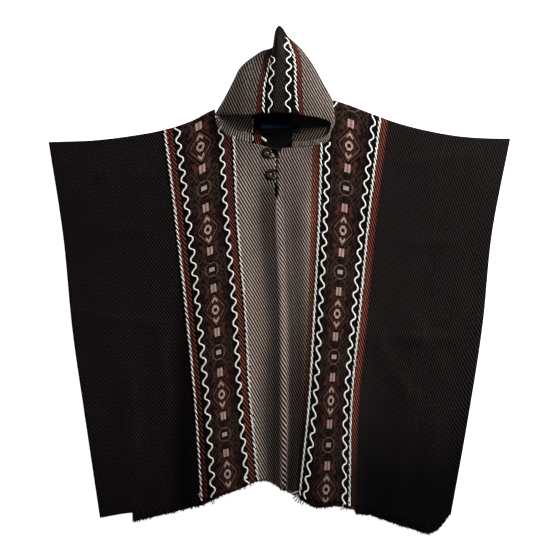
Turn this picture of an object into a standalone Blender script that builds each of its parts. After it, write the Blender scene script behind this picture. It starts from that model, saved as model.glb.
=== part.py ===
"""A hooded Andean poncho, laid flat on its back on a level surface.

The origin is the middle of the garment's outline, on the surface. +Z is up, +Y runs from the hem
to the hood's tip and +X is the right of someone who looks down on the front.

The back panel lies flat on the surface. The front panel lies on it and rises into long folds
towards the hem. The hood is a flattened bag beyond the neck, open towards the hem.
"""

import math

import bmesh
import bpy
import numpy as np

COLLECTION = "andean_poncho"
MM = 0.001

# Cloth, in millimetres.
CLOTH = 2.5  # thickness of the woven cloth
SEAM = 0.3  # gap between neighbouring pieces
CURVED_SEAM = 0.8  # the same where a strip follows a curved edge and cuts its corners a little
FRONT_BASE = CLOTH + SEAM  # underside of the front panel where it lies flat

# The stripe lines that run down the cloth: how far each is from the middle, in mm, at the
# shoulder, at each quarter of the length and at the hem.
QUARTERS = (0.0, 0.25, 0.5, 0.75, 1.0)
LINES = {
    "left_edge": (-576, -540, -517, -483, -448),
    "left_band_outer": (-291, -262, -236, -212, -196),
    "left_band_inner": (-116, -106, -87, -75, -55),
    "middle": (-8, -6, 9, 11, 11),
    "right_band_inner": (114, 99, 87, 73, 50),
    "right_band_outer": (256, 224, 201, 178, 173),
    "right_edge": (576, 525, 503, 470, 424),
}

# Shoulder line and hem of both panels: (across, along), in mm.
SHOULDER = (
    (-576, 341), (-454, 349), (-379, 359), (-304, 371), (-254, 384), (-204, 404), (-181, 415),
    (-165, 421), (141, 442), (171, 434), (221, 415), (296, 388), (371, 369), (446, 356), (541, 350),
    (576, 350),
)
HEM = (
    (-448, -589), (-374, -573), (-299, -559), (-204, -535), (-144, -516), (-99, -505),
    (-59, -486), (-29, -484), (11, -501), (50, -516), (76, -534), (151, -541), (196, -554),
    (246, -564), (296, -581), (346, -600), (381, -603), (424, -588),
)

# Folds of the front panel. line counts the stripe lines from the left edge, with the share of the
# way to the next one. height is the rise at the hem, in mm, and start the share of the length at
# which the fold begins.
FOLDS = (
    # line, height, start
    (0.00, 0, 0.5), (0.15, 0, 0.5), (0.30, 2, 0.5), (0.45, 0, 0.5), (0.60, 3, 0.5), (0.75, 1, 0.5),
    (0.86, 2, 0.4), (0.93, 8, 0.3), (1.00, 23, 0.25), (1.12, 31, 0.25), (1.30, 34, 0.25),
    (1.50, 31, 0.25), (1.72, 22, 0.25), (2.00, 9, 0.2), (2.25, 3, 0.2), (2.50, 1, 0.2),
    (2.72, 3, 0.2), (2.88, 9, 0.2), (3.00, 15, 0.15), (3.14, 14, 0.12), (3.35, 15, 0.1),
    (3.65, 21, 0.1), (4.00, 30, 0.1), (4.20, 34, 0.15), (4.40, 35, 0.2), (4.62, 34, 0.25),
    (4.85, 28, 0.25), (5.00, 20, 0.3), (5.06, 10, 0.3), (5.14, 2, 0.4), (5.30, 0, 0.5),
    (5.45, 3, 0.3), (5.60, 1, 0.5), (5.75, 2, 0.5), (5.90, 0, 0.5), (6.00, 0, 0.5),
)

# The front neckline, from the left shoulder to the right: the line that each point's column
# follows, and where the point is.
NECK = (
    # line, across, along
    (1.72, -165, 421), (1.80, -162, 404), (1.90, -157, 385), (2.00, -136, 364), (2.18, -114, 350),
    (2.40, -84, 343), (2.66, -54, 338), (2.96, -26, 330), (3.04, 6, 328), (3.20, 30, 329),
    (3.42, 61, 331), (3.64, 91, 334), (3.84, 114, 340), (3.96, 128, 352), (4.03, 136, 370),
    (4.09, 138, 389), (4.15, 139.5, 418), (4.21, 141, 442),
)
NECK_BLEND = 0.15  # share of the length over which a column leaves its neckline point

# The slit below the neck: how far its two lips stand from the middle line, in mm.
SLIT = (
    # share of the length, left lip, right lip
    (0.000, -18, 14), (0.012, -9.5, 3), (0.026, -1.2, 0.8), (0.100, -0.6, 0.6), (0.120, -4, 3.4),
    (0.142, -2.6, 2.4), (0.150, -0.6, 0.6), (0.200, -2.5, 2.5), (1.000, -5, 5),
)
SLIT_END = 0.150

# The hood: the outline of its fold, the edge that is sewn to the back's neck, and the free rim.
HOOD_OUTLINE = (
    (-160, 414), (-153, 427), (-141, 446), (-126, 474), (-111, 504), (-101, 524), (-86, 541),
    (-66, 556), (-41, 570), (-21, 580), (-10.5, 598), (-8.5, 620), (0, 634), (10, 622), (18, 604),
    (34, 592), (49, 581), (64, 564), (79, 542), (91, 519), (103, 494), (117, 470), (130, 446),
    (136.5, 421), (136.5, 398),
)
NAPE = (
    (-152, 402), (-137, 391), (-107, 380), (-67, 372), (-7, 368), (53, 368), (100, 370),
    (122, 374), (132, 386),
)
RIM = ((-149, 413), (-96, 411), (-21, 414), (56, 411), (106, 405), (122, 399), (129, 388))
HOOD_FOLD_RADIUS = 2.6  # of the wall's middle, where the hood is folded flat
HOOD_RISE = 46  # of the rim's middle above the fold's top
HOOD_ROUNDNESS = 2.4  # how soon the crown reaches that height
CORNER_ROUNDNESS = 0.7  # how soon the rim rises from its corners

# The turned edge of the hood, which runs along the neckline to the slit: its free side, one point
# for each of the neckline's points from first to last.
EDGE_LEFT = (1, ((-150, 408), (-143, 391), (-127, 375), (-106, 365), (-81, 361), (-59, 356), (-34, 346)))
EDGE_RIGHT = (9, ((32, 344), (61, 345), (89, 348), (107, 354), (119, 362), (126, 374)))
EDGE_THICKNESS = 4.0  # the cloth turned in double
EDGE_ROLL = 2.5  # rise of its free side

# Buttons and their cord loops.
BUTTONS = {"upper": (-30, 316), "lower": (-22, 262)}
BUTTON_RADIUS = 11.0
BUTTON_PROFILE = (
    # from the middle of the dished face, over the rim, to the middle of the flat back
    (0, 3.2), (5.0, 3.0), (7.3, 4.4), (9.6, 4.2), (BUTTON_RADIUS, 2.6), (10.2, 0.6), (9.0, 0), (0, 0),
)
BUTTON_SIDES = 20
LOOP_RADIUS = 1.3
LOOP_END = 8  # how far past the slit the loop is sewn down

# Neck label: its low corner, width, length and thickness.
LABEL = {"low": (-49, 366), "size": (100, 24, 0.8)}

# Fringe: locks of yarn below the hem.
FRINGE_STRIP = 4.0  # width of the woven strip that carries the locks
FRINGE_START = -372  # left of this the hem's locks are worn away
FRINGE_LENGTH = (
    (-372, 27), (-204, 25), (-144, 20), (-59, 11), (-20, 14), (50, 23), (85, 26), (151, 23),
    (196, 19), (250, 25), (370, 30), (400, 24), (424, 8),
)
LOCK_GAP = 0.9
LOCK_TAPER = 0.72  # width of a lock's tip beside its root
LOCK_THIN = 0.5  # depth of its tip beside the strip's
LOCK_DROOP = 0.85  # how high its tip stays where a fold lifts the hem
LOCK_SWAY = 0.9  # how far its tip leans to one side, in mm
LOCK_FAN = 0.01  # how far the tips spread outwards, as a share of the distance from the middle
HEM_RUNS = 70  # points on the back panel's hem
FRONT_LOCKS = 104
BACK_LOCKS = 84


def curve(points, x):
    """The smooth curve through a table of (x, y) rows, at x."""
    xs, ys = np.array(points, float).T
    k = int(np.clip(np.searchsorted(xs, x) - 1, 0, len(xs) - 2))
    slopes = np.gradient(ys, xs)
    width = xs[k + 1] - xs[k]
    s = min(max((x - xs[k]) / width, 0.0), 1.0)
    h = s * s * (3 - 2 * s)
    ends = s * (1 - s) ** 2 * slopes[k] - s * s * (1 - s) * slopes[k + 1]
    return float((1 - h) * ys[k] + h * ys[k + 1] + width * ends)


def straight(points, x):
    """The straight runs between the rows of a table, at x."""
    xs, ys = np.array(points, float).T
    return float(np.interp(x, xs, ys))


def along_path(points, share):
    """The point at a share of a path's length, which is measured as seen from above."""
    path = np.array(points, float)
    run = np.concatenate([[0], np.cumsum(np.linalg.norm(np.diff(path[:, :2], axis=0), axis=1))])
    return np.array([np.interp(share * run[-1], run, column) for column in path.T])


def across(line, share):
    """How far from the middle a place is, from its line's number and its share of the length."""
    at_share = [curve(tuple(zip(QUARTERS, row)), share) for row in LINES.values()]
    return float(np.interp(line, range(len(at_share)), at_share))


def fold_height(line, share):
    """How far the folds lift the front panel."""
    height = straight([(row[0], row[1]) for row in FOLDS], line)
    start = straight([(row[0], row[2]) for row in FOLDS], line)
    s = min(max((share - start) / (1 - start), 0.0), 1.0)
    return height * s * s * (3 - 2 * s)


def material(name, colour, roughness):
    """A Principled material."""
    made = bpy.data.materials.new(name)
    made.use_nodes = True
    shader = made.node_tree.nodes["Principled BSDF"]
    shader.inputs["Base Color"].default_value = (*colour, 1)
    shader.inputs["Roughness"].default_value = roughness
    made.diffuse_color = (*colour, 1)
    return made


def add_object(name, mesh, slot):
    """A named object in the garment's collection."""
    mesh.materials.append(slot)
    made = bpy.data.objects.new(name, mesh)
    bpy.data.collections[COLLECTION].objects.link(made)
    return made


def mesh_of(name, points, faces):
    """A mesh from points in millimetres, with its unused points left out."""
    made = bpy.data.meshes.new(name)
    made.from_pydata([[c * MM for c in p] for p in points], [], faces)
    tidy = bmesh.new()
    tidy.from_mesh(made)
    bmesh.ops.delete(tidy, geom=[v for v in tidy.verts if not v.link_faces], context="VERTS")
    tidy.to_mesh(made)
    tidy.free()
    return made


def wall(name, grid, slot, thickness, offset, missing=lambda i, j: False):
    """A cloth wall on a grid of points: an open surface with Solidify."""
    rows, columns = len(grid), len(grid[0])
    points = [p for row in grid for p in row]
    faces = [
        (i * columns + j, i * columns + j + 1, (i + 1) * columns + j + 1, (i + 1) * columns + j)
        for i in range(rows - 1)
        for j in range(columns - 1)
        if not missing(i, j)
    ]
    made = add_object(name, mesh_of(name, points, faces), slot)
    thicken = made.modifiers.new("wall", "SOLIDIFY")
    thicken.thickness = thickness * MM
    thicken.offset = offset
    thicken.use_even_offset = False
    return made


def front_columns():
    """The front panel's columns from left to right: each one's line and its neckline point, if any."""
    neck = {row[0]: row[1:] for row in NECK}
    lines = sorted({row[0] for row in FOLDS if not NECK[0][0] < row[0] < NECK[-1][0]} | set(neck))
    return [(line, neck.get(line)) for line in lines]


def front_rows():
    """The shares of the length at which the front panel has points."""
    upper = [row[0] for row in SLIT if row[0] <= SLIT_END]
    steps = 17
    return upper + [SLIT_END + (1 - SLIT_END) * (k + 1) / steps for k in range(steps)]


def slit_lips(share):
    """How far the slit's left and right lips stand from the middle line."""
    return [straight([(row[0], row[k]) for row in SLIT], share) for k in (1, 2)]


def front_point(line, neck, share):
    """A point of the front panel's underside."""
    lips = {NECK[7][0]: 0, NECK[8][0]: 1}
    if line in lips:
        x = across(3, share) + slit_lips(share)[lips[line]]
    else:
        x = across(line, share)
    top = curve(SHOULDER, x)
    if neck:
        top = neck[1]
    if neck and line not in lips:
        kept = max(0.0, 1 - share / NECK_BLEND)
        x += kept * (neck[0] - x)
    bottom = curve(HEM, across(line, 1))
    return (x, top + (bottom - top) * share, FRONT_BASE + fold_height(line, share))


def front_panel(slot):
    """The front: laid on the back, with a scooped neck, a slit, and folds that grow to the hem."""
    columns = front_columns()
    rows = front_rows()
    grid = [[front_point(line, neck, share) for line, neck in columns] for share in rows]
    left_lip = [line for line, _ in columns].index(NECK[7][0])

    def in_slit(i, j):
        return j == left_lip and rows[i + 1] <= SLIT_END

    # Rows run towards the hem, so the columns are turned round for the faces to point up.
    turned = [row[::-1] for row in grid]
    last = len(columns) - 2
    return wall("front_panel", turned, slot, CLOTH, 1, lambda i, j: in_slit(i, last - j))


def slab(name, outline, low, thickness, slot):
    """A flat piece: a filled 2D curve, extruded."""
    flat = bpy.data.curves.new(name, "CURVE")
    flat.dimensions = "2D"
    flat.fill_mode = "BOTH"
    flat.extrude = thickness / 2 * MM
    edge = flat.splines.new("POLY")
    edge.points.add(len(outline) - 1)
    for point, (x, y) in zip(edge.points, outline):
        point.co = (x * MM, y * MM, 0, 1)
    edge.use_cyclic_u = True
    made = add_object(name, flat, slot)
    made.location.z = (low + thickness / 2) * MM
    return made


def back_hem():
    """The back panel's hem."""
    return [(x, curve(HEM, x), 0) for x in np.linspace(HEM[0][0], HEM[-1][0], HEM_RUNS)]


def front_hem():
    """The underside of the front panel's hem."""
    return [front_point(line, neck, 1) for line, neck in front_columns()]


def back_panel(slot):
    """The back: flat on the surface, with a shallow neck."""
    lower = [point[:2] for point in back_hem()]
    right = [
        (across(6, share), curve(HEM, HEM[-1][0]) * share + SHOULDER[-1][1] * (1 - share))
        for share in (0.75, 0.5, 0.25)
    ]
    upper_right = [p for p in SHOULDER if p[0] > 0][::-1]
    neck = [row[1:] for row in NECK[-2:-5:-1]]
    neck += [(x, y - SEAM) for x, y in NAPE[-2::-1]] + [NECK[1][1:]]
    upper_left = [p for p in SHOULDER if p[0] < 0][::-1]
    left = [
        (across(0, share), curve(HEM, HEM[0][0]) * share + SHOULDER[0][1] * (1 - share))
        for share in (0.25, 0.5, 0.75)
    ]
    outline = lower + right + upper_right + neck + upper_left + left
    return slab("back_panel", outline, 0, CLOTH, slot)


def hood_profile(outline, nape, rim, middle):
    """One profile of the hood, from the nape under the fold and back over it to the rim."""
    radius = HOOD_FOLD_RADIUS
    low, top = CLOTH / 2, CLOTH / 2 + 2 * radius
    inward = (nape + rim) / 2 - outline
    inward /= np.linalg.norm(inward)
    turn = outline + inward * (radius + CLOTH / 2)
    points = [(*(nape + (turn - nape) * s), low) for s in (0, 0.35, 0.7)]
    for angle in (-90, -45, 0, 45, 90):
        a = math.radians(angle)
        x, y = turn - inward * radius * math.cos(a)
        points.append((x, y, low + radius + radius * math.sin(a)))
    rise = HOOD_RISE * (1 - (2 * middle - 1) ** 2) ** CORNER_ROUNDNESS
    for s in (0.07, 0.16, 0.28, 0.42, 0.58, 0.78, 1.0):
        x, y = turn + (rim - turn) * s
        points.append((x, y, top + rise * (1 - (1 - s) ** HOOD_ROUNDNESS)))
    return points


def hood(slot):
    """The hood: a bag folded flat, lying on the surface, its rim lifted over the hollow inside."""
    count = len(HOOD_OUTLINE)
    grid = []
    for i, outline in enumerate(HOOD_OUTLINE):
        share = i / (count - 1)
        nape, rim = along_path(NAPE, share), along_path(RIM, share)
        grid.append(hood_profile(np.array(outline, float), nape, rim, share))
    return wall("hood", grid, slot, CLOTH, 0)


def hood_edge(name, first, free_side, slot):
    """A turned edge of the hood along the neckline, rolled up at its free side."""
    grid = []
    for (_, x, y), inner in zip(NECK[first:], free_side):
        outer, inner = np.array((x, y), float), np.array(inner, float)
        towards = (inner - outer) / np.linalg.norm(inner - outer)
        start = outer + towards * CURVED_SEAM
        grid.append(
            [
                (*(start + (inner - start) * s), FRONT_BASE + EDGE_ROLL * s * s)
                for s in (0.0, 0.55, 1.0)
            ]
        )
    return wall(name, grid, slot, EDGE_THICKNESS, -1)


def button(name, place, slot):
    """A dished wooden button: a turned profile."""
    profile = bpy.data.meshes.new(name)
    points = [(r * MM, 0, z * MM) for r, z in BUTTON_PROFILE]
    profile.from_pydata(points, [(k, k + 1) for k in range(len(points) - 1)], [])
    made = add_object(name, profile, slot)
    turn = made.modifiers.new("turned", "SCREW")
    turn.steps = turn.render_steps = BUTTON_SIDES
    turn.use_merge_vertices = True
    turn.merge_threshold = 0.00001
    made.location = (place[0] * MM, place[1] * MM, (FRONT_BASE + CLOTH + SEAM) * MM)
    return made


def loop(name, place, slot):
    """A cord loop: from the slit's right lip, round the button and back."""
    reach = BUTTON_RADIUS + LOOP_RADIUS + SEAM
    end = across(3, 0) + LOOP_END - place[0]
    path = [(end, reach * 0.55), (end * 0.6, reach * 0.9)]
    path += [
        (reach * math.cos(math.radians(a)), reach * math.sin(math.radians(a)))
        for a in range(72, 289, 24)
    ]
    path += [(end * 0.6, -reach * 0.9), (end, -reach * 0.55)]
    cord = bpy.data.curves.new(name, "CURVE")
    cord.dimensions = "3D"
    cord.bevel_depth = LOOP_RADIUS * MM
    cord.bevel_resolution = 2
    cord.use_fill_caps = True
    spline = cord.splines.new("POLY")
    spline.points.add(len(path) - 1)
    height = FRONT_BASE + CLOTH + SEAM + LOOP_RADIUS
    for point, (x, y) in zip(spline.points, path):
        point.co = ((place[0] + x) * MM, (place[1] + y) * MM, height * MM, 1)
    return add_object(name, cord, slot)


def neck_label(slot):
    """A plain woven label sewn across the seam at the nape."""
    (x, y), (width, length, thickness) = LABEL["low"], LABEL["size"]
    outline = [(x, y), (x + width, y), (x + width, y + length), (x, y + length)]
    return slab("neck_label", outline, CLOTH + SEAM, thickness, slot)


def fringe(name, hem, count, slot):
    """Locks of yarn whose roots are fused into a narrow strip along the hem's sound stretch."""
    start = [np.interp(FRINGE_START, [p[0] for p in hem], column) for column in zip(*hem)]
    hem = [start] + [point for point in hem if point[0] > FRINGE_START]
    base = min(z for _, _, z in hem)
    run = np.linalg.norm(np.diff(np.array(hem)[:, :2], axis=0), axis=1).sum()
    half_gap = LOCK_GAP / run / 2
    points, faces = [], []
    for k in range(count):
        roots = [along_path(hem, s) for s in (k / count + half_gap, (k + 1) / count - half_gap)]
        middle = (roots[0] + roots[1]) / 2
        wave = math.sin(2.4 * k) + 0.6 * math.sin(1.1 * k + 2)
        length = straight(FRINGE_LENGTH, middle[0]) * (0.9 + 0.07 * wave)
        for x, y, z in roots:
            inner, outer = y - CURVED_SEAM, y - CURVED_SEAM - FRINGE_STRIP
            points += [(x, inner, z), (x, inner, z + CLOTH), (x, outer, z + CLOTH), (x, outer, z)]
        half = (roots[1][0] - roots[0][0]) / 2 * LOCK_TAPER
        tip_x = middle[0] + LOCK_SWAY * wave + LOCK_FAN * middle[0]
        tip_y = middle[1] - CURVED_SEAM - FRINGE_STRIP - length
        deep = CLOTH * LOCK_THIN
        tip_z = base + LOCK_DROOP * (middle[2] - base) + (CLOTH - deep) / 2
        points += [
            (tip_x - half, tip_y, tip_z), (tip_x - half, tip_y, tip_z + deep),
            (tip_x + half, tip_y, tip_z + deep), (tip_x + half, tip_y, tip_z),
        ]
        a, b, t = 12 * k, 12 * k + 4, 12 * k + 8
        faces += [(a, a + 1, b + 1, b), (a + 1, a + 2, b + 2, b + 1), (a + 3, a, b, b + 3)]
        faces += [(a + 2, t + 1, t + 2, b + 2), (a + 3, b + 3, t + 3, t)]
        faces += [(a + 2, a + 3, t, t + 1), (b + 3, b + 2, t + 2, t + 3), (t, t + 3, t + 2, t + 1)]
        if k:
            p = a - 8
            faces += [(p + j, p + (j + 1) % 4, a + (j + 1) % 4, a + j) for j in range(4)]
    last = 12 * (count - 1) + 4
    faces += [(0, 3, 2, 1), (last, last + 1, last + 2, last + 3)]
    return add_object(name, mesh_of(name, points, faces), slot)


def main():
    """Clears the scene and makes the garment."""
    for old in list(bpy.data.objects):
        bpy.data.objects.remove(old, do_unlink=True)
    collection = bpy.data.collections.new(COLLECTION)
    bpy.context.scene.collection.children.link(collection)

    body = material("striped_wool", (0.06, 0.045, 0.04), 0.9)
    hooded = material("hood_wool", (0.36, 0.3, 0.27), 0.9)
    yarn = material("fringe_yarn", (0.05, 0.035, 0.03), 0.95)
    navy = material("navy_ribbon", (0.01, 0.02, 0.06), 0.6)
    wood = material("coconut_shell", (0.07, 0.035, 0.02), 0.35)
    cord = material("black_cord", (0.01, 0.01, 0.01), 0.7)

    back_panel(body)
    front_panel(body)
    hood(hooded)
    hood_edge("hood_edge_left", *EDGE_LEFT, hooded)
    hood_edge("hood_edge_right", *EDGE_RIGHT, hooded)
    neck_label(navy)
    for place, where in BUTTONS.items():
        button(f"button_{place}", where, wood)
        loop(f"loop_{place}", where, cord)
    fringe("fringe_back", back_hem(), BACK_LOCKS, yarn)
    fringe("fringe_front", front_hem(), FRONT_LOCKS, yarn)


main()
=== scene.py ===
"""The looks of a hooded Andean poncho that lies flat on its back.

Lengths are in millimetres, as in the part: x runs across from the middle of the garment and y from
its hem to the hood's tip. A place on the cloth also has a cut: how far across the flat cloth it is
before the folds narrow it. The stripes, the weave and the yarns on the cloth follow the cut.
"""

import math
import random
from functools import partialmethod

import bmesh
import bpy
import numpy as np
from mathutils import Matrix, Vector
from mathutils.bvhtree import BVHTree


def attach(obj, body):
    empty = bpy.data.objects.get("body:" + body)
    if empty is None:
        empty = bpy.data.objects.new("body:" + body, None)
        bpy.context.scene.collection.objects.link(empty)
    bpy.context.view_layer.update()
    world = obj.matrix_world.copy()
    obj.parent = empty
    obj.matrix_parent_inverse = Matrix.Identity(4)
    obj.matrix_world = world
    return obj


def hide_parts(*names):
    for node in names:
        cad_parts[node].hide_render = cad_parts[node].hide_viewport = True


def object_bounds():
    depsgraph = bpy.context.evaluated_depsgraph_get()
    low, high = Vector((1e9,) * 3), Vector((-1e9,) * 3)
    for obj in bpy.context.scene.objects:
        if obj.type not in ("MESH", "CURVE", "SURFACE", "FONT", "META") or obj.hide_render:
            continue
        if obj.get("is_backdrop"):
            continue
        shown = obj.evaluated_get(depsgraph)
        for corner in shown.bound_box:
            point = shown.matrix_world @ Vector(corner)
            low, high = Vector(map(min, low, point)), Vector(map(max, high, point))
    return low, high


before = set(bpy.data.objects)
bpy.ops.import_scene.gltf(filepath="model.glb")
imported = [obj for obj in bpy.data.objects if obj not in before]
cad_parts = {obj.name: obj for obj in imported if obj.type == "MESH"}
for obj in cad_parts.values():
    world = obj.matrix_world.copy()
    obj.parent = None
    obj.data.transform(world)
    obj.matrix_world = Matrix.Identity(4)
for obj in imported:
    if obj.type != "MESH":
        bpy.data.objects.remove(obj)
CAD_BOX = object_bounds()  # the CAD model's, as only its pieces are there so far

MM = 0.001

# Cloth.
CLOTH = 2.5  # its thickness
SEAM = 0.3  # the gap between pieces
CURVED_SEAM = 0.8  # where the outlines on its two sides are different curves
FRONT_BASE = CLOTH + SEAM
FRONT_CELL = 5.2  # size of the front's mesh cells
BACK_CELL = 9.0  # and of the back's
LENGTH = 952.0  # of both panels, from the shoulder to the hem

# The stripe lines, as in the part: their distance from the middle at each quarter of the length.
QUARTERS = (0.0, 0.25, 0.5, 0.75, 1.0)
LINES = (
    (-576, -540, -517, -483, -448),  # left edge
    (-291, -262, -236, -212, -196),  # left band's outer rope
    (-116, -106, -87, -75, -55),  # its inner rope
    (-8, -6, 9, 11, 11),  # middle
    (107, 99, 87, 73, 50),  # right band's inner rope
    (251, 224, 201, 178, 173),  # its outer rope
    (576, 531, 507, 471, 429),  # right edge
)
CUTS = (-576, -291, -116, -8, 114, 256, 576)  # of the stripe lines on the flat cloth
NEAREST = (1, 1, 3, 3, 5, 5, 5)  # the line that the warp follows in each strip

SHOULDER = (
    (-576, 341), (-454, 346), (-379, 355), (-304, 368), (-254, 381), (-204, 401), (-181, 414),
    (-161, 423), (134, 446), (171, 434), (221, 415), (296, 388), (371, 369), (446, 356), (541, 350),
    (576, 350),
)
HEM = (
    (-448, -595), (-410, -588), (-380, -583), (-355, -581), (-299, -573), (-204, -550),
    (-144, -530), (-99, -518),
    (-59, -501), (-29, -499), (11, -517), (50, -533), (76, -548), (151, -553), (196, -568),
    (246, -580), (296, -597), (346, -613), (381, -616), (405, -606), (429, -580),
)
FOLDS = (
    # line, height at the hem, share of the length where the fold begins
    (0.00, 0, 0.5), (0.15, 0, 0.5), (0.30, 2, 0.5), (0.45, 0, 0.5), (0.60, 3, 0.5), (0.75, 1, 0.5),
    (0.86, 2, 0.4), (0.93, 8, 0.3), (1.00, 23, 0.25), (1.12, 31, 0.25), (1.30, 34, 0.25),
    (1.50, 31, 0.25), (1.72, 22, 0.25), (2.00, 9, 0.2), (2.25, 3, 0.2), (2.50, 1, 0.2),
    (2.72, 3, 0.2), (2.88, 9, 0.2), (3.00, 15, 0.15), (3.14, 14, 0.12), (3.35, 15, 0.1),
    (3.65, 21, 0.1), (4.00, 30, 0.1), (4.20, 34, 0.15), (4.40, 35, 0.2), (4.62, 34, 0.25),
    (4.85, 28, 0.25), (5.00, 20, 0.3), (5.06, 10, 0.3), (5.14, 2, 0.4), (5.30, 0, 0.5),
    (5.45, 3, 0.3), (5.60, 1, 0.5), (5.75, 2, 0.5), (5.90, 0, 0.5), (6.00, 0, 0.5),
)
FRONT_NECK = (
    # line, across, along
    (1.72, -161, 423), (1.80, -160, 405), (1.90, -157, 385), (2.00, -136, 364), (2.18, -114, 350),
    (2.40, -84, 343), (2.66, -54, 338), (2.96, -26, 330), (3.04, 6, 328), (3.20, 30, 329),
    (3.42, 61, 331), (3.64, 91, 334), (3.84, 114, 340), (3.96, 126, 352), (4.03, 130, 370),
    (4.09, 132, 389), (4.15, 133.2, 420), (4.21, 134, 446),
)
BACK_NECK = (
    (1.72, -161, 423), (1.78, -160, 404), (1.86, -152, 401.7), (1.93, -137, 390.7),
    (2.10, -107, 379.7), (2.45, -67, 371.7), (3.00, -7, 367.7), (3.50, 53, 367.7),
    (3.85, 100, 369.7), (4.00, 119, 373.7), (4.06, 126, 376), (4.10, 130, 389),
    (4.15, 132.5, 418), (4.21, 134, 446),
)
NECK_BLEND = 0.15  # the share of the length that the neck's shape reaches down
SLIT = (
    # share of the length, left lip and right lip from the middle
    (0.000, -19, 14), (0.012, -14, 4), (0.020, -8, 2), (0.027, -1.2, 0.8), (0.100, -0.6, 0.6),
    (0.116, -4.4, 4), (0.140, -4.4, 3.4), (0.150, -0.6, 0.6), (0.200, -2.5, 2.5), (1.000, -5, 5),
)
SLIT_END = 0.150
LEFT_LIP, RIGHT_LIP = 2.96, 3.04  # the lines of the slit's lips
LIP_REACH = 0.30  # how many lines wide the cloth gives way beside the slit

# The fold that runs down the middle from the slit: where its crest is, and how high it is at
# distances from its crest.
CREST = (
    # y, x
    (-475, -1), (-420, 4), (-325, 4), (-175, 2), (-25, 2.5), (50, 1.5), (125, -1), (187, -2.5),
)
CREST_PROFILE = (
    # distance, height
    (-76, 0), (-52, 0.8), (-33, 2.4), (-17, 4.2), (-7, 5.8), (-2, 7.4), (1, 7.7), (5, 6.2),
    (10, 3.4), (15, 1.5), (22, 0.8), (34, 1.8), (50, 4.2), (58, 5.0), (64, 4.4), (74, 1.8), (84, 0),
)
CREST_TOP, CREST_RUN = 212, 50  # y where it begins, and how soon it is whole

# Soft creases of the front, from one end to the other: their half width and height.
CREASES = (
    # x, y, x, y, half width, height
    (-500, -95, -235, -112, 12, 2.6),
    (-470, 118, -300, 128, 14, 1.8),
    (-560, -330, -420, -350, 14, 1.6),
    (-395, -180, -330, -560, 20, 3.4),
    (-300, -60, -262, -420, 16, 2.6),
    (-500, 300, -380, 200, 20, 1.6),
    (270, 296, 500, 310, 13, 2.4),
    (280, 100, 470, 92, 13, 2.2),
    (262, -136, 470, -150, 13, 2.8),
    (230, -100, 350, -352, 20, 3.6),
    (300, -20, 430, -300, 22, 2.6),
    (400, -330, 330, -560, 20, 3.0),
    (-190, 60, -120, 40, 14, 1.8),
    (130, 40, 215, 60, 14, 1.8),
    (-90, 190, -30, 150, 14, 1.6),
    (30, 120, 85, 160, 12, 1.6),
    (-88, -180, -20, -230, 12, -1.6),
    (18, -60, 80, -100, 12, -1.4),
    (-160, -250, -100, -330, 16, -2.2),
    (110, -240, 160, -330, 16, -2.2),
)
CREASE_SLOPE = 1.45  # how much wider a crease is on its right, from its start, than on its left

# The hood.
HOOD_OUTLINE = (
    (-163, 410), (-153, 427), (-141, 446), (-126, 474), (-111, 504), (-101, 524), (-86, 541),
    (-66, 556), (-44, 570.5), (-17.5, 579.5), (-13.5, 597), (-9.5, 621), (-1.5, 634), (8, 627),
    (21, 607), (38, 592), (51, 580), (65, 563), (80, 542), (93, 520), (106, 496), (120, 472),
    (132, 448), (136.5, 421), (136.5, 398),
)
NAPE = (
    (-152, 402), (-137, 391), (-107, 380), (-67, 372), (-7, 368), (53, 368), (100, 370),
    (122, 374), (132, 386),
)
RIM = (
    (-149, 411), (-96, 406.5), (-60, 406), (-40, 408.5), (0, 409.5), (30, 408), (56, 405),
    (85, 402), (106, 399), (122, 394), (129, 387),
)
HOOD_FOLD_RADIUS = 2.6
HOOD_RISE = 46
HOOD_ROUNDNESS = 2.4
HORN_TIP, HORN_RISE = 12, 7  # the outline's row at the horn's tip, and how high the horn stands
CORNER_ROUNDNESS = 0.7
HOOD_STEPS = 6  # profiles for each point of the outline
UNDER_ROWS, FOLD_ROWS, OVER_ROWS = 21, 11, 45  # of its mesh: below the fold, round it and above it

# Its cloth below the nape: from where to where it runs, and the middle, the half width and the end
# of its tongue behind the slit. The tongue is a dark sheet that stands for the painted shade seen
# through the slit.
FLAP_ENDS, SLIT_SHADE_TONGUE, FLAP_THICKNESS = (-146, 128), (-5, 17, 188), 0.24

# The hood's turned edges: the row of FRONT_NECK where each begins, and the points of its free side.
EDGE_LEFT = (
    1,
    ((-150, 409), (-142, 397), (-124, 382), (-102, 371), (-78, 366), (-56, 360), (-32, 349)),
)
EDGE_RIGHT = (9, ((32, 344), (61, 345), (89, 348), (107, 354), (119, 362), (126, 374)))
EDGE_RIGHT_TOP = ((138, 389, 127.5, 388), (138.5, 405, 130, 405), (136, 420, 131, 420))
EDGE_THICKNESS = 4.0
EDGE_ROLL = 2.5  # how much higher the free side lies
EDGE_SIDES = 22
EDGE_CORNER = (118, 344)  # the right edge covers the front above it, so no yarn is laid there

# The hood's stripe lines, from the left red stripe's outer side to the right one's: their cut, and
# how far across they are at several heights.
HOOD_CUTS = (-59.5, -44.5, -39, -23, 0, 22, 46.8, 52, 64)
HOOD_LINES = (
    # y, then the lines
    (415, -58, -46, -40, -23, -1, 20, 44, 48.5, 58.5),
    (473, -54, -41, -38, -22, 1, 21, 38.5, 42.5, 54.5),
    (523, -45, -32, -27, -17, 4, 22.5, 38.5, 42.5, 54.5),
    (556, -37, -27, -21, -16, 4, 21.5, 34.5, 38, 50),
    (581, -26, -21, -17, -12, 2, 15, 25, 29, 41),
    (606, -16, -12, -11, -9, 0, 9, 15, 17, 23),
    (628, -11, -9, -7, -5, 0, 4, 6, 9, 11),
)

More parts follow.
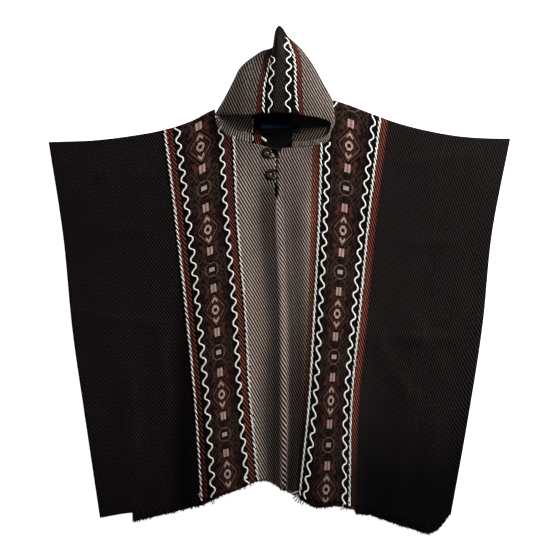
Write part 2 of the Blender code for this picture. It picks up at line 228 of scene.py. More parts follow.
# Buttons and loops.
BUTTONS = {"upper": (-30, 316), "lower": (-22, 262)}
BUTTON_RADIUS = 11.0
BUTTON_BASE = FRONT_BASE + CLOTH + SEAM
BUTTON_SIDES = 56
BUTTON_PROFILE = (
    # radius, height
    (2.0, 3.0), (4.0, 3.05), (5.4, 3.2), (6.4, 3.7), (7.3, 4.25), (8.4, 4.45), (9.5, 4.25),
    (10.3, 3.7), (10.8, 3.0), (BUTTON_RADIUS, 2.3), (10.9, 1.5), (10.4, 0.7), (9.6, 0.2), (8.8, 0),
)
HOLE_PLACE, HOLE_RADIUS = 1.9, 0.85
LOOP_RADIUS = 1.3
LOOP_TWIST = 5.2  # the length of a turn of its strands
LOOP_END = 8  # how far right of the middle line it begins

LABEL = {"low": (-49, 366), "size": (100, 24, 0.8)}
LABEL_STITCHES = 24  # along each side

FRINGE_START = -366
FRINGE_PITCH = 0.8
FRINGE_RADIUS = (0.95, 1.35)
FRINGE_LENGTH = (
    # x, length
    (-366, 22), (-340, 21), (-310, 16), (-204, 15), (-160, 9), (-144, 5), (-120, 3), (-99, 2),
    (-59, 2), (-20, 5), (30, 9), (50, 9), (85, 13), (151, 10), (187, 8), (189, 19), (225, 14),
    (250, 16), (300, 16), (330, 14), (370, 19), (395, 12), (414, 2), (429, 0.5),
)

# Weave, in millimetres of the cut.
WARP_PITCH = 1.75
WEFT_PITCH = 3.35
TWILL_REPEAT = 4
FLOAT_PITCH = 2.6  # of the warp floats in the woven motifs

# The bands' yarns: the cuts of the ropes and zigzags, and of the middle of the woven motifs.
ROPES = (-286.5, -115, 112.5, 256)
ZIGZAGS = (
    # cut, distance from there, first swing to the right, pitch, half of the swing
    (-286.5, 31, 17.5, 35.3, 5.9), (-148.4, 0, 7, 35.0, 5.5), (112.5, 16.6, 2, 34.2, 5.4),
    (256, -16.2, 18.5, 34.7, 5.0),
)
YARN_ENDS = (
    # radius, then points: across, along, height
    (2.1, (-199, -530, 30), (-195, -545, 26), (-193, -562, 18)),
    (2.0, (-196, -532, 30), (-190, -547, 26), (-187, -563, 18)),
    (1.7, (-190, -537, 32), (-186, -548, 28), (-184, -558, 20)),
    (1.6, (-182, -540, 34), (-180, -549, 29), (-179, -556, 22)),
    (1.6, (-170, -534, 38), (-168, -547, 32), (-166, -558, 22)),
    (1.4, (-166, -532, 38), (-163, -545, 32), (-162, -556, 22)),
    (1.8, (-83, -490, 24), (-85, -507, 19), (-86.5, -522, 12)),
    (1.8, (-83, -489, 24), (-77, -502, 18), (-71, -515, 10)),
    (1.9, (51, -522, 37), (41, -526, 34), (31, -531, 29)),
    (1.9, (51, -525, 37), (43, -534, 33), (34, -543, 27)),
    (1.8, (52, -528, 38), (46, -539, 33), (39, -550, 26)),
    (1.8, (54, -529, 38), (50, -542, 33), (45, -554, 26)),
    (1.7, (56, -529, 39), (54, -543, 34), (51, -556, 26)),
    (1.6, (62, -540, 39), (60, -549, 34), (56, -559, 26)),
    (1.6, (60, -528, 40), (54, -532, 37), (49, -536, 33)),
    (1.6, (160, -552, 38), (156, -561, 33), (152, -571, 26)),
    (1.6, (173, -545, 28), (166, -559, 27), (158, -571, 22)),
    (1.4, (175, -556, 26), (172, -566, 22), (166, -573, 16)),
    (1.1, (-66, 403, 4), (-66.8, 394, 4.2), (-66.3, 386, 4)),
    (1.1, (-66.5, 381, 4), (-67.4, 373, 4.2), (-67, 366, 4)),
    (1.3, (-68, 359, 9.2), (-66, 353, 9.4), (-66.5, 346, 8.8)),
    (1.9, (-45, 355, 8.6), (-40, 351, 9.4), (-34, 347, 8.4)),
    (1.9, (-43, 351, 8.4), (-38, 348, 9.2), (-33, 345, 8)),
    (1.8, (144, 443, 7.6), (138, 435, 7.8), (132, 429, 7.6)),
)
HOOD_ROPES = ((-39, 549, 422), (46.8, 603, 424))  # cut, and the heights of the start and the end
HOOD_ZIGZAGS = (
    # cut, start, end, the heights of the swings to the right, half of the swing, thickness
    (-23, 554, 410, (541, 508, 471, 433), 4.4, 1.3),
    (22, 588, 411, (557, 525, 492, 450, 416), 5.9, 1.75),
)
LEFT_MOTIF, RIGHT_MOTIF = -203.5, 186.8
MOTIF_REPEAT = 208  # from one eye to the next
LEFT_EYES = (0.079, 0.309, 0.526, 0.7485, 0.9535)  # shares of the length
RIGHT_EYES = (0.101, 0.319, 0.531, 0.7475, 0.966)

STITCH_PITCH = 13.6  # of the ropes
STITCH_LENGTH = 15.6
STITCH_LEAN = 6.6
HOOD_LEAN = 5.6
STITCH_RADIUS = 1.8
HOOD_STITCH, HOOD_YARN = 0.92, 0.9  # the hood's stitches and their yarn, beside the front's
WAVE_RADIUS = 2.0  # of the zigzags

# Colours, in linear light.
BEIGE = (0.70, 0.555, 0.485)
BEIGE_WEFT = (0.019, 0.0062, 0.0046)
SIDE = (0.0262, 0.0175, 0.0168)
SIDE_WEFT = (0.005, 0.003, 0.0028)
BRICK = (0.265, 0.066, 0.042)
RUST = (0.285, 0.086, 0.044)
CRIMSON = (0.195, 0.029, 0.031)
# Brighter copies of the reds for the right band's inner stripe: in part their own hue, in part
# painted light.
BRIGHT_BRICK = (0.40, 0.110, 0.072)
BRIGHT_RUST = (0.44, 0.175, 0.090)
BRIGHT_CRIMSON = (0.30, 0.052, 0.055)
HOOD_RED = (0.185, 0.041, 0.027)
DULL_RED = (0.165, 0.045, 0.034)
RED_WEFT = (0.012, 0.003, 0.003)
BLACK = (0.0045, 0.0036, 0.0034)
BLACK_WEFT = (0.0025, 0.002, 0.002)
HOOD_BEIGE = (0.305, 0.240, 0.207)
SHADED_INNER_BEIGE = (0.145, 0.105, 0.088)  # in the hood's own shade
# Lit and shaded copies of the beige for the hood's turned edges: painted light on the left edge,
# painted shade on the right.
LIT_EDGE_BEIGE = (0.88, 0.70, 0.60)
SHADED_EDGE_BEIGE = (0.34, 0.27, 0.23)
HOOD_BROWN = (0.046, 0.028, 0.024)
WHITE = (0.86, 0.81, 0.75)
MOTIF_GROUND = (0.0030, 0.0016, 0.0014)
MOTIF_EARTH = (0.046, 0.0190, 0.0130)
MOTIF_DIM = (0.060, 0.0245, 0.0175)
MOTIF_PALE = (0.58, 0.42, 0.35)
MOTIF_ROSE = (0.34, 0.20, 0.175)
MOTIF_TAN = (0.20, 0.115, 0.088)
MOTIF_BROWN = (0.150, 0.069, 0.051)
MOTIF_RED = (0.060, 0.016, 0.0115)
MOTIF_PINK = (0.090, 0.025, 0.022)
MOTIF_OLIVE = (0.055, 0.034, 0.024)


# --- Tables and paths ---


def curve(points, x):
    """The smooth curve through a table of (x, y) rows, at x."""
    xs, ys = np.array(list(points), float).T
    x = np.asarray(x, float)
    k = np.clip(np.searchsorted(xs, x) - 1, 0, len(xs) - 2)
    slopes = np.gradient(ys, xs)
    width = xs[k + 1] - xs[k]
    s = np.clip((x - xs[k]) / width, 0, 1)
    h = s * s * (3 - 2 * s)
    ends = s * (1 - s) ** 2 * slopes[k] - s * s * (1 - s) * slopes[k + 1]
    return (1 - h) * ys[k] + h * ys[k + 1] + width * ends


def between_rows(places, rows, at):
    """The rows of a table whose places are given, at other places, on smooth curves."""
    return np.stack([curve(zip(places, column), at) for column in zip(*rows)], axis=-1)


def straight(points, x):
    """The straight runs between the rows of a table, at x."""
    return np.interp(x, *np.array(points, float).T)


def run_along(path):
    """How far along a path its points are."""
    return np.append(0, np.cumsum(np.linalg.norm(np.diff(path, axis=0), axis=1)))


def along_path(points, shares):
    """The places at shares of a path's length, on a smooth curve through its points."""
    path = np.array(points, float)
    run = run_along(path[:, :2])
    return between_rows(run, path, np.asarray(shares) * run[-1])


def unit(ways):
    """Vectors, made one long."""
    return ways / np.linalg.norm(ways, axis=-1)[..., None]


def smooth(share):
    """A soft step from 0 to 1."""
    s = np.clip(share, 0, 1)
    return s * s * (3 - 2 * s)


def line_places(share):
    """How far from the middle each stripe line is, at shares of the length."""
    return np.stack([curve(zip(QUARTERS, row), share) for row in LINES])


def strip_sides(places, k):
    """The places of the stripe lines on both sides of strip k."""
    return [np.take_along_axis(places, (k + n)[None], 0)[0] for n in (0, 1)]


def across(line, share):
    """How far from the middle a place is, from its line's number and its share of the length."""
    line, share = np.broadcast_arrays(np.asarray(line, float), np.asarray(share, float))
    k = np.clip(np.floor(line).astype(int), 0, len(LINES) - 2)
    low, high = strip_sides(line_places(share), k)
    return low + (high - low) * (line - k)


def cut_of(line):
    """The cut at a line's number."""
    return np.interp(line, range(len(CUTS)), CUTS)


def line_of(cut):
    """The line's number at a cut."""
    return np.interp(cut, CUTS, range(len(CUTS)))


# --- Meshes ---


class Bundle:
    """Yarns that are joined in one mesh. Each corner has a place on its yarn's skin: how far along
    it, and what share of the way round. Each point has the cut that gives it its colour."""

    def __init__(self):
        self.points, self.faces, self.corners, self.cuts = [], [], [], []

    def tube(self, path, up, radius, sides=6, cut=0.0, flat=1.0):
        """A yarn along a path, with its ends closed. up is the way off the cloth."""
        path = np.array(path, float)
        up = np.broadcast_to(np.array(up, float), path.shape)
        radius = np.broadcast_to(radius, len(path))
        ahead = unit(np.gradient(path, axis=0))
        side = unit(np.cross(ahead, up))
        off = np.cross(side, ahead) * flat
        angles = (np.arange(sides) * 2 * math.pi / sides)[None, :, None]
        round_it = side[:, None] * np.cos(angles) + off[:, None] * np.sin(angles)
        rings = path[:, None] + round_it * radius[:, None, None]
        run = run_along(path) * MM
        first = len(self.points)
        for a, b in zip(run, run[1:]):
            for j in range(sides):
                k, n = first + j, first + (j + 1) % sides
                self.faces.append((k, n, n + sides, k + sides))
                low, high = j / sides, (j + 1) / sides
                self.corners += [(a, low), (a, high), (b, high), (b, low)]
            first += sides
        start = len(self.points)
        self.faces += [tuple(range(start, start + sides))[::-1], tuple(range(first, first + sides))]
        self.corners += [(0, 0)] * sides + [(run[-1], 0)] * sides
        self.points += rings.reshape(-1, 3).tolist()
        self.cuts += [cut] * rings.shape[0] * sides

    def yarn(self, path, up, radius):
        """A thick white yarn, a little flattened on the cloth."""
        self.tube(path, up, radius, 7, flat=0.85)

    def make(self, name, material):
        return make_object(name, self.points, self.faces, self.corners, self.cuts, [material])


def placed(name, data):
    """A new object in the scene."""
    made = bpy.data.objects.new(name, data)
    bpy.context.scene.collection.objects.link(made)
    return made


def make_object(name, points, faces, corners, cuts, materials, phases=None, slots=None):
    """An object from points in millimetres, with its skin map and its points' numbers."""
    mesh = bpy.data.meshes.new(name)
    mesh.from_pydata((np.array(points, float) * MM).tolist(), [], faces)
    layer = mesh.uv_layers.new(name="skin")
    layer.data.foreach_set("uv", np.array(corners, np.float32).ravel())
    for kind, values in (("cut", cuts), ("phase", phases)):
        if values is not None:
            number = mesh.attributes.new(kind, "FLOAT", "POINT")
            number.data.foreach_set("value", np.array(values, np.float32).ravel())
    if slots is not None:
        mesh.polygons.foreach_set("material_index", slots)
    mesh.shade_smooth()
    for material in materials:
        mesh.materials.append(material)
    return placed(name, mesh)


def grid_faces(rows, columns, skip=None):
    """A grid's faces, and the row and column of each."""
    cells = [(i, j) for i in range(rows - 1) for j in range(columns - 1)]
    cells = [cell for cell in cells if not (skip and skip(*cell))]
    firsts = [i * columns + j for i, j in cells]
    return [(a, a + columns, a + columns + 1, a + 1) for a in firsts], cells


def grid_object(name, grid, places, cuts, materials, phases=None, skip=None, slot_of=None):
    """A sheet from a grid of points. places are its corners' places on the cloth, in millimetres,
    and its faces look to the side from which its rows run down and its columns to the right."""
    faces, cells = grid_faces(*grid.shape[:2], skip)
    corners = places.reshape(-1, 2)[np.ravel(faces)] * MM
    used, faces = np.unique(np.array(faces), return_inverse=True)
    slots = [slot_of(i, j) for i, j in cells] if slot_of else None
    phases = None if phases is None else phases.ravel()[used]
    return make_object(
        name, grid.reshape(-1, 3)[used], faces.reshape(-1, 4).tolist(), corners,
        cuts.ravel()[used], materials, phases, slots,
    )


def thicken(made, thickness, offset):
    """Gives a sheet its thickness."""
    wall = made.modifiers.new("wall", "SOLIDIFY")
    wall.thickness = thickness * MM
    wall.offset = offset
    wall.use_even_offset = False
    return made


# --- The striped cloth ---


def fold_height(line, share):
    """How far the folds lift the front panel."""
    height = np.maximum(curve([row[:2] for row in FOLDS], line), 0)
    start = straight([(row[0], row[2]) for row in FOLDS], line)
    return height * smooth((share - start) / (1 - start))


def crease_height(x, y):
    """How far the soft creases lift the front panel."""
    total = np.zeros_like(x)
    for x0, y0, x1, y1, half, height in CREASES:
        run = np.hypot(x1 - x0, y1 - y0)
        ax, ay = (x1 - x0) / run, (y1 - y0) / run
        s = ((x - x0) * ax + (y - y0) * ay) / run
        wander = 0.35 * half * np.sin(5.0 * s + 0.013 * x0)
        t = (y - y0) * ax - (x - x0) * ay - wander
        ends = smooth(s / 0.25) * smooth((1 - s) / 0.35)
        side = np.where(t > 0, 1.0, CREASE_SLOPE)
        total += height * ends * np.exp(-((t / half / side) ** 2))
    return total


def swell(x, y):
    """The slow unevenness of cloth that was smoothed by hand."""
    return (
        0.9 + 0.5 * np.sin(0.021 * x + 0.8) * np.sin(0.017 * y + 0.3)
        + 0.4 * np.sin(0.043 * x + 0.011 * y + 2.0)
    )


def cut_at(x, share):
    """The cut of a place, from how far across it is and its share of the length."""
    places = line_places(share)
    k = np.clip((places <= x).sum(axis=0) - 1, 0, len(LINES) - 2)
    low, high = strip_sides(places, k)
    cuts = np.array(CUTS)
    return cuts[k] + (cuts[k + 1] - cuts[k]) * (x - low) / (high - low)


def cloth_top(neck, line, shoulder):
    """How high up the cloth begins, at the shoulder or at the neck, and where it is the neck."""
    in_neck = (line >= neck[0][0]) & (line <= neck[-1][0])
    return np.where(in_neck, curve([(row[0], row[2]) for row in neck], line), shoulder), in_neck


def panel_points(line, share, neck, lips):
    """Points of a panel's plan: x and y, their cuts and distances down the cloth, and their place
    across its yarns. lips says whether the slit parts them. The neck is cut out of the cloth, so it
    doesn't bend the stripes."""
    plain = across(line, share)
    x, free = plain, 1.0
    if lips:
        middle = across(3, share)
        for side, at, column in ((-1, LEFT_LIP, 1), (1, RIGHT_LIP, 2)):
            target = middle + straight([(row[0], row[column]) for row in SLIT], share)
            near = np.clip(1 - (line - at) * side / LIP_REACH, 0, 1) * ((line - 3) * side > 0)
            x = x + near * (target - across(at, share))
            free = free - near
    top, in_neck = cloth_top(neck, line, curve(SHOULDER, x))
    kept = np.maximum(0, 1 - share / NECK_BLEND) * in_neck * free
    at_neck = curve([row[:2] for row in neck], line)
    x, plain = x + kept * (at_neck - x), plain + kept * (at_neck - plain)
    bottom = curve(HEM, across(line, 1))
    y = top + (bottom - top) * share
    shoulder = curve(SHOULDER, plain)
    down = LENGTH * (shoulder - y) / (shoulder - bottom)
    return x, y, cut_at(plain, share), down, yarn_place(plain, line, share)


def yarn_place(x, line, share):
    """How far across its yarns a place is: the stripes narrow down the cloth, but not its yarns."""
    near = np.array(NEAREST)[np.floor(line).astype(int)]
    return np.array(CUTS)[near] + x - across(near, share)


def fine_lines(neck, cell):
    """The line numbers of a panel's columns, a cell apart on the cut cloth."""
    knots = (0, 1, neck[0][0], 2, LEFT_LIP, RIGHT_LIP, 4, neck[-1][0], 5, 6)
    lines = [0.0]
    for low, high in zip(knots, knots[1:]):
        steps = 1 if low == LEFT_LIP else round((cut_of(high) - cut_of(low)) / cell)
        lines += [low + (high - low) * (k + 1) / steps for k in range(steps)]
    return np.array(lines)


def motif_phase(cut, share):
    """How many eyes of its band lie above a place."""
    phases = []
    for eyes in (LEFT_EYES, RIGHT_EYES):
        step = (eyes[-1] - eyes[0]) / (len(eyes) - 1)
        beyond = np.minimum(share - eyes[0], 0) + np.maximum(share - eyes[-1], 0)
        phases.append(curve(zip(eyes, range(len(eyes))), share) + beyond / step)
    return np.where(cut < CUTS[3], *phases)


def crest_height(x, y):
    """How far the fold down the middle lifts the front panel."""
    height = curve(CREST_PROFILE, x - curve(CREST, y))
    return np.maximum(height, 0) * smooth((CREST_TOP - y) / CREST_RUN)


def front_height(x, y, line, share):
    """The height of the front's underside."""
    loose = (swell(x, y) + crease_height(x, y) + crest_height(x, y)) * smooth(share / 0.06)
    return FRONT_BASE + fold_height(line, share) + np.maximum(loose, 0)


def front_spot(cut, down, above):
    """Points above the front at cuts and distances down it, the ways off the cloth there, and
    whether the cloth is there at all."""
    line, share = line_of(cut), np.asarray(down) / LENGTH

    def spot(line, share):
        bottom = curve(HEM, across(line, 1))
        held = share
        for _ in range(3):
            x = across(line, held)
            shoulder = curve(SHOULDER, x)
            top = cloth_top(FRONT_NECK, line, shoulder)[0]
            y = shoulder + (bottom - shoulder) * share
            held = np.clip((top - y) / (top - bottom), 0, 1)
        z = front_height(x, y, line, held) + CLOTH
        under_edge = (abs(x - EDGE_CORNER[0]) < 20) & (y > EDGE_CORNER[1])
        return np.stack([x, y, z], -1), (y <= top + 0.5) & ~under_edge

    place, there = spot(line, share)
    right = spot(line + 0.01, share)[0] - spot(line - 0.01, share)[0]
    ahead = spot(line, share + 0.002)[0] - spot(line, share - 0.002)[0]
    way = unit(np.cross(ahead, right))
    return place + way * np.asarray(above)[..., None], way, there


def front_sheet():
    """The front's columns and rows, its underside, and its points' places on the cloth."""
    lines = fine_lines(FRONT_NECK, FRONT_CELL)
    shares = np.linspace(0, 1, round(LENGTH / FRONT_CELL) + 1)
    shares = np.sort(np.append(shares[np.abs(shares - SLIT_END) > 0.001], SLIT_END))
    line, share = np.meshgrid(lines, shares)
    x, y, cuts, down, yarns = panel_points(line, share, FRONT_NECK, True)
    sheet = np.stack([x, y, front_height(x, y, line, share)], axis=-1)
    return lines, shares, sheet, cuts, down, yarns


def shoulder_turn(grid, steps=6):
    """Rows that carry the sheet round the shoulder, down to the surface."""
    rows = np.stack([grid[0]] * steps)
    angles = math.pi * (1 - np.arange(steps) / steps)[:, None]
    rows[..., 1] += SEAM / 2 * np.sin(angles)
    rows[..., 2] = FRONT_BASE - SEAM / 2 + SEAM / 2 * np.cos(angles)
    return rows


def front_cloth(material):
    """The front, turned over at the shoulders, open at the neck and the slit."""
    lines, shares, sheet, cuts, down, yarns = front_sheet()
    turn = shoulder_turn(sheet)
    grid = np.concatenate([turn, sheet])
    share = np.concatenate([np.zeros(len(turn)), shares])
    cuts, down, yarns = (np.concatenate([a[:1]] * len(turn) + [a]) for a in (cuts, down, yarns))
    phases = motif_phase(cuts, down / LENGTH)
    lip = list(lines).index(LEFT_LIP)

    def skip(i, j):
        in_neck = FRONT_NECK[0][0] <= lines[j] < FRONT_NECK[-1][0]
        in_slit = j == lip and share[min(i + 1, len(share) - 1)] <= SLIT_END + 1e-6
        return in_slit or (in_neck and i < len(turn))

    places = np.stack([yarns, down], -1)
    made = grid_object("front_cloth", grid, places, cuts, [material], phases, skip)
    return thicken(made, CLOTH, 1)


def back_cloth(material):
    """The back, flat on the surface."""
    lines = fine_lines(BACK_NECK, BACK_CELL)
    shares = np.linspace(0, 1, round(LENGTH / BACK_CELL) + 1)
    line, share = np.meshgrid(lines, shares)
    x, y, cuts, down, yarns = panel_points(line, share, BACK_NECK, False)
    grid = np.stack([x, y, np.zeros_like(x)], axis=-1)
    places = np.stack([yarns, -down], -1)
    phases = motif_phase(cuts, down / LENGTH)
    made = grid_object("back_cloth", grid, places, cuts, [material], phases)
    return thicken(made, CLOTH, 1)


# --- Yarns on the cloth ---


def stretched(cut, down, aside):
    """The cut that lies aside of another one by a distance measured on the cloth."""
    start = front_spot(cut, down, 0)[0]
    away = np.where(np.asarray(aside) < 0, -8.0, 8.0)  # a first guess, made better twice
    for _ in range(2):
        length = np.linalg.norm(front_spot(cut + away, down, 0)[0] - start, axis=-1)
        away = np.clip(away * aside / np.where(away < 0, -length, length), -60, 60)
        away = np.where(abs(away) < 0.5, 0.5, away)
    return cut + away


def stretch(cut, down):
    """How much of the cut a millimetre across the cloth takes up."""
    return (stretched(cut, down, 4.0) - cut) / 4.0


def laid(bundle, cuts, down, above, radius):
    """Yarns on the front, a row for each, where there is cloth under them."""
    paths, ways, found = front_spot(cuts, down, above)
    for path, up, there, thick in zip(paths, ways, found, np.broadcast_to(radius, found.shape)):
        if there.sum() > 2:
            bundle.yarn(path[there], up[there], thick[there])


def stitch_form(radius):
    """A stitch's shares of its length, and its height and its thickness along them."""
    s = np.linspace(0, 1, 9)
    arch = np.sin(math.pi * (0.06 + 0.88 * s))
    return s, radius * (1.1 * arch**0.8 - 0.5), radius * (0.3 + 0.7 * arch**0.7)


def rope(bundle, cut, source):
    """A row of slanting stitches down the front."""
    place = source.uniform(-8, 0)
    rows = []
    while place < LENGTH - 4:
        length = STITCH_LENGTH * source.uniform(0.94, 1.08)
        s, rise, thick = stitch_form(STITCH_RADIUS * source.uniform(0.92, 1.1))
        slant = STITCH_LEAN * source.uniform(0.88, 1.12)
        aside = source.uniform(-0.4, 0.4) + slant * (s - 0.5) + 0.4 * np.sin(2 * math.pi * s)
        rows.append((aside, np.clip(place + length * s, 0, LENGTH), rise, thick))
        place += STITCH_PITCH * source.uniform(0.96, 1.04)
    aside, down, rise, thick = np.stack(rows, axis=1)
    laid(bundle, cut + aside * stretch(cut, down), down, rise, thick)


def wave_shape(turn):
    """A zigzag's swing at a share of its turn: straight slants with short, upright ends."""
    return np.tanh(0.95 * np.sin(2 * math.pi * turn)) / math.tanh(0.95)


def zigzag(bundle, cut, offset, first, pitch, half, source):
    """A white yarn that winds from side to side down the front."""
    down = np.linspace(0, LENGTH, int(LENGTH / 2.3))
    knots = np.arange(-60, LENGTH + 120, pitch / 2)
    drift, reach, pace = (
        curve([(knot, source.uniform(low, high)) for knot in knots], down)
        for low, high in ((-0.7, 0.7), (0.9, 1.1), (-0.03, 0.03))
    )
    swing = half * wave_shape((down - first) / pitch + 0.25 + pace) * reach
    middle = stretched(cut, down, offset) if offset else cut
    cuts = middle + stretch(middle, down) * (swing + drift)
    thick = WAVE_RADIUS * (1 + 0.08 * np.sin(down * 0.9))
    laid(bundle, cuts[None], down[None], WAVE_RADIUS * 0.45, thick[None])


def yarn_ends(bundle):
    """The ends of the white yarns: loose at the hem, and beside the neck."""
    for radius, *path in YARN_ENDS:
        bundle.yarn(along_path(path, np.linspace(0, 1, 8)), (0, 0, 1), radius)


def front_yarns(material):
    """The ropes and zigzags of both bands."""
    source = random.Random(4)
    ropes, zigzags = Bundle(), Bundle()
    for cut in ROPES:
        rope(ropes, cut, source)
    for form in ZIGZAGS:
        zigzag(zigzags, *form, source)
    yarn_ends(zigzags)
    return ropes.make("band_ropes", material), zigzags.make("band_zigzags", material)


# --- The hood ---


def hood_profiles():
    """The hood's profiles, from the nape under the fold and back over it to the rim, and which of
    them is the first above the fold."""
    last = len(HOOD_OUTLINE) - 1
    at = np.linspace(0, last, last * HOOD_STEPS + 1)
    outline = between_rows(range(last + 1), HOOD_OUTLINE, at)
    shares = at / last
    nape, rim = along_path(NAPE, shares), along_path(RIM, shares)
    radius = HOOD_FOLD_RADIUS
    low, top = CLOTH / 2, CLOTH / 2 + 2 * radius
    inward = unit((nape + rim) / 2 - outline)
    turn = outline + inward * (radius + CLOTH / 2)
    horn = HORN_RISE * np.exp(-(((at - HORN_TIP) / 2.0) ** 2))
    rise = HOOD_RISE * np.maximum(1 - (2 * shares - 1) ** 2, 0) ** CORNER_ROUNDNESS
    rows = [(nape + (turn - nape) * s, low) for s in np.linspace(0, 1, UNDER_ROWS + 1)[:-1]]
    for a in np.radians(np.linspace(-90, 90, FOLD_ROWS)):
        rows.append((turn - inward * radius * math.cos(a), low + radius + radius * math.sin(a)))
    for s in np.linspace(0, 1, OVER_ROWS + 1)[1:]:
        z = top + rise * (1 - (1 - s) ** HOOD_ROUNDNESS)
        z += horn * np.sin(math.pi * np.clip(s / 0.42, 0, 1))
        rows.append((turn + (rim - turn) * s, z))
    sheet = [np.column_stack([place, np.broadcast_to(z, len(at))]) for place, z in rows]
    return np.stack(sheet), len(rows) - OVER_ROWS


def hood_cut(x, y, inside):
    """The hood's cut at a place. Inside the hood the stripes run straight down."""
    if inside:
        return x
    table = np.array(HOOD_LINES, float)
    lines = [np.interp(y, table[:, 0], column) for column in table[:, 1:].T]
    beyond = min(x - lines[0], 0) + max(x - lines[-1], 0)
    return np.interp(x, lines, HOOD_CUTS) + beyond


def hood_cloth(outer, inner):
    """The hood: its outer cloth, and the inside of its back that shows below the rim."""
    grid, first_top = hood_profiles()
    rows, columns = grid.shape[:2]
    inside = np.arange(rows) < first_top - 5
    cuts = np.array(
        [[hood_cut(*grid[i, j, :2], inside[i]) for j in range(columns)] for i in range(rows)]
    )
    down = np.where(inside[:, None], grid[:, :, 1], -grid[:, :, 1])
    made = grid_object(
        "hood_cloth", grid, np.stack([cuts, down], -1), cuts, [outer, inner],
        slot_of=lambda i, j: int(inside[i] and inside[i + 1]),
    )
    return thicken(made, CLOTH, 0)


def nape_flap(material):
    """The hood's cloth below the nape: it lies on the back, inside the neck, and behind the slit as
    a dark tongue of painted shade.
    """
    xs = np.linspace(*FLAP_ENDS, 92)
    neck = np.array([row[1:] for row in FRONT_NECK])
    sides = neck[np.argsort(neck[:, 0])]
    high = np.interp(xs, [p[0] for p in NAPE], [p[1] for p in NAPE]) + 6
    low = np.interp(xs, sides[:, 0], sides[:, 1]) - 3
    middle, half, end = SLIT_SHADE_TONGUE
    low = np.where(abs(xs - middle) < half, end, low)
    down = np.linspace(0, 1, 40)[:, None]
    grid = np.stack(np.broadcast_arrays(xs, high + (low - high) * down, CLOTH + 0.02), -1)
    places = np.stack([grid[..., 0], grid[..., 1]], -1)
    made = grid_object("nape_flap", grid, places, grid[..., 0], [material])
    return thicken(made, FLAP_THICKNESS, 1)


def hood_surface():
    """The upper layer of the hood, to lay yarns on."""
    grid, first_top = hood_profiles()
    top = grid[first_top - 4 :]
    faces = grid_faces(*top.shape[:2])[0]
    return BVHTree.FromPolygons([Vector(p) for p in top.reshape(-1, 3)], faces)


def hood_spots(surface, path, above):
    """Points above the hood at places on its plan, and the ways off the cloth there."""
    points, ways = [], []
    path = list(path)
    for (x, y), lift in zip(path, np.broadcast_to(above, len(path))):
        place, way = surface.ray_cast(Vector((x, y, 200)), Vector((0, 0, -1)))[:2]
        if place is None:
            continue
        way = way if way.z > 0 else -way
        points.append(tuple(place + way * (CLOTH / 2 + lift)))
        ways.append(tuple(way))
    return points, ways


def hood_across(cut, y):
    """How far across the hood a cut is at some heights."""
    table = np.array(HOOD_LINES, float)
    return np.interp(y, table[:, 0], [np.interp(cut, HOOD_CUTS, row[1:]) for row in table])


def hood_yarns(material):
    """The ropes and zigzags of the hood's middle stripe."""
    surface = hood_surface()
    source = random.Random(7)
    ropes, zigzags = Bundle(), Bundle()
    for cut, start, end in HOOD_ROPES:
        y = start
        while y > end:
            s, rise, thick = stitch_form(HOOD_YARN * STITCH_RADIUS)
            ys = y - HOOD_STITCH * STITCH_LENGTH * s
            xs = hood_across(cut, ys) + HOOD_LEAN * source.uniform(0.85, 1.15) * (s - 0.5)
            points, ways = hood_spots(surface, zip(xs, ys), rise)
            if len(points) == len(s):
                ropes.yarn(points, ways, thick)
            y -= HOOD_STITCH * STITCH_PITCH * source.uniform(0.97, 1.03)
    for cut, start, end, rights, half, thick in HOOD_ZIGZAGS:
        ys = np.linspace(start, end, 70)
        turn = curve([(y, k) for k, y in enumerate(rights)][::-1], ys)
        step = (rights[0] - rights[-1]) / (len(rights) - 1)
        turn = turn - (np.maximum(ys - rights[0], 0) - np.maximum(rights[-1] - ys, 0)) / step
        xs = hood_across(cut, ys) + half * wave_shape(turn + 0.25)
        zigzags.yarn(*hood_spots(surface, zip(xs, ys), thick * 0.5), thick)
    return ropes.make("hood_ropes", material), zigzags.make("hood_zigzags", material)


def hood_edge(name, first, free_side, material, top=(), fineness=1.0):
    """A turned edge of the hood along the neckline: cloth turned in double, with round sides."""
    pairs = []
    for (_, x, y), inner in zip(FRONT_NECK[first:], free_side):
        outer, inner = np.array((x, y), float), np.array(inner, float)
        pairs.append((*(outer + unit(inner - outer) * CURVED_SEAM), *inner))
    pairs += top
    last = len(pairs) - 1
    pairs = between_rows(range(last + 1), pairs, np.linspace(0, 1, 12 * last + 1) * last)
    outer, inner = pairs[:, :2], pairs[:, 2:]
    run = run_along((outer + inner) / 2)
    width = np.linalg.norm(inner - outer, axis=1)
    rings, cuts, places = [], [], []
    for k in range(EDGE_SIDES, -1, -1):
        angle = 2 * math.pi * k / EDGE_SIDES
        along, lift = (np.sign(t) * abs(t) ** 0.6 for t in (math.cos(angle), math.sin(angle)))
        s = 0.5 - 0.5 * along
        place = outer + (inner - outer) * s
        z = FRONT_BASE + EDGE_THICKNESS / 2 * (1 + lift) + EDGE_ROLL * s * s
        ripple = 0.35 * np.sin(run * 0.23 + 1.3 * s) * (lift > 0)
        rings.append(np.column_stack([place, z + ripple]))
        cuts.append(place[:, 0])
        places.append(np.column_stack([run * fineness, -width * s * 0.45 - run * 0.25]))
    made = grid_object(name, np.stack(rings), np.stack(places), np.stack(cuts), [material])
    close_tube(made)
    return made


def close_tube(made):
    """Joins a rolled sheet along its meeting sides and closes its ends."""
    shape = bmesh.new()
    shape.from_mesh(made.data)
    bmesh.ops.remove_doubles(shape, verts=shape.verts, dist=0.00001)
    bmesh.ops.holes_fill(shape, edges=[e for e in shape.edges if e.is_boundary], sides=0)
    bmesh.ops.recalc_face_normals(shape, faces=shape.faces)
    shape.to_mesh(made.data)
    shape.free()
    made.data.shade_smooth()


# --- Fringe ---


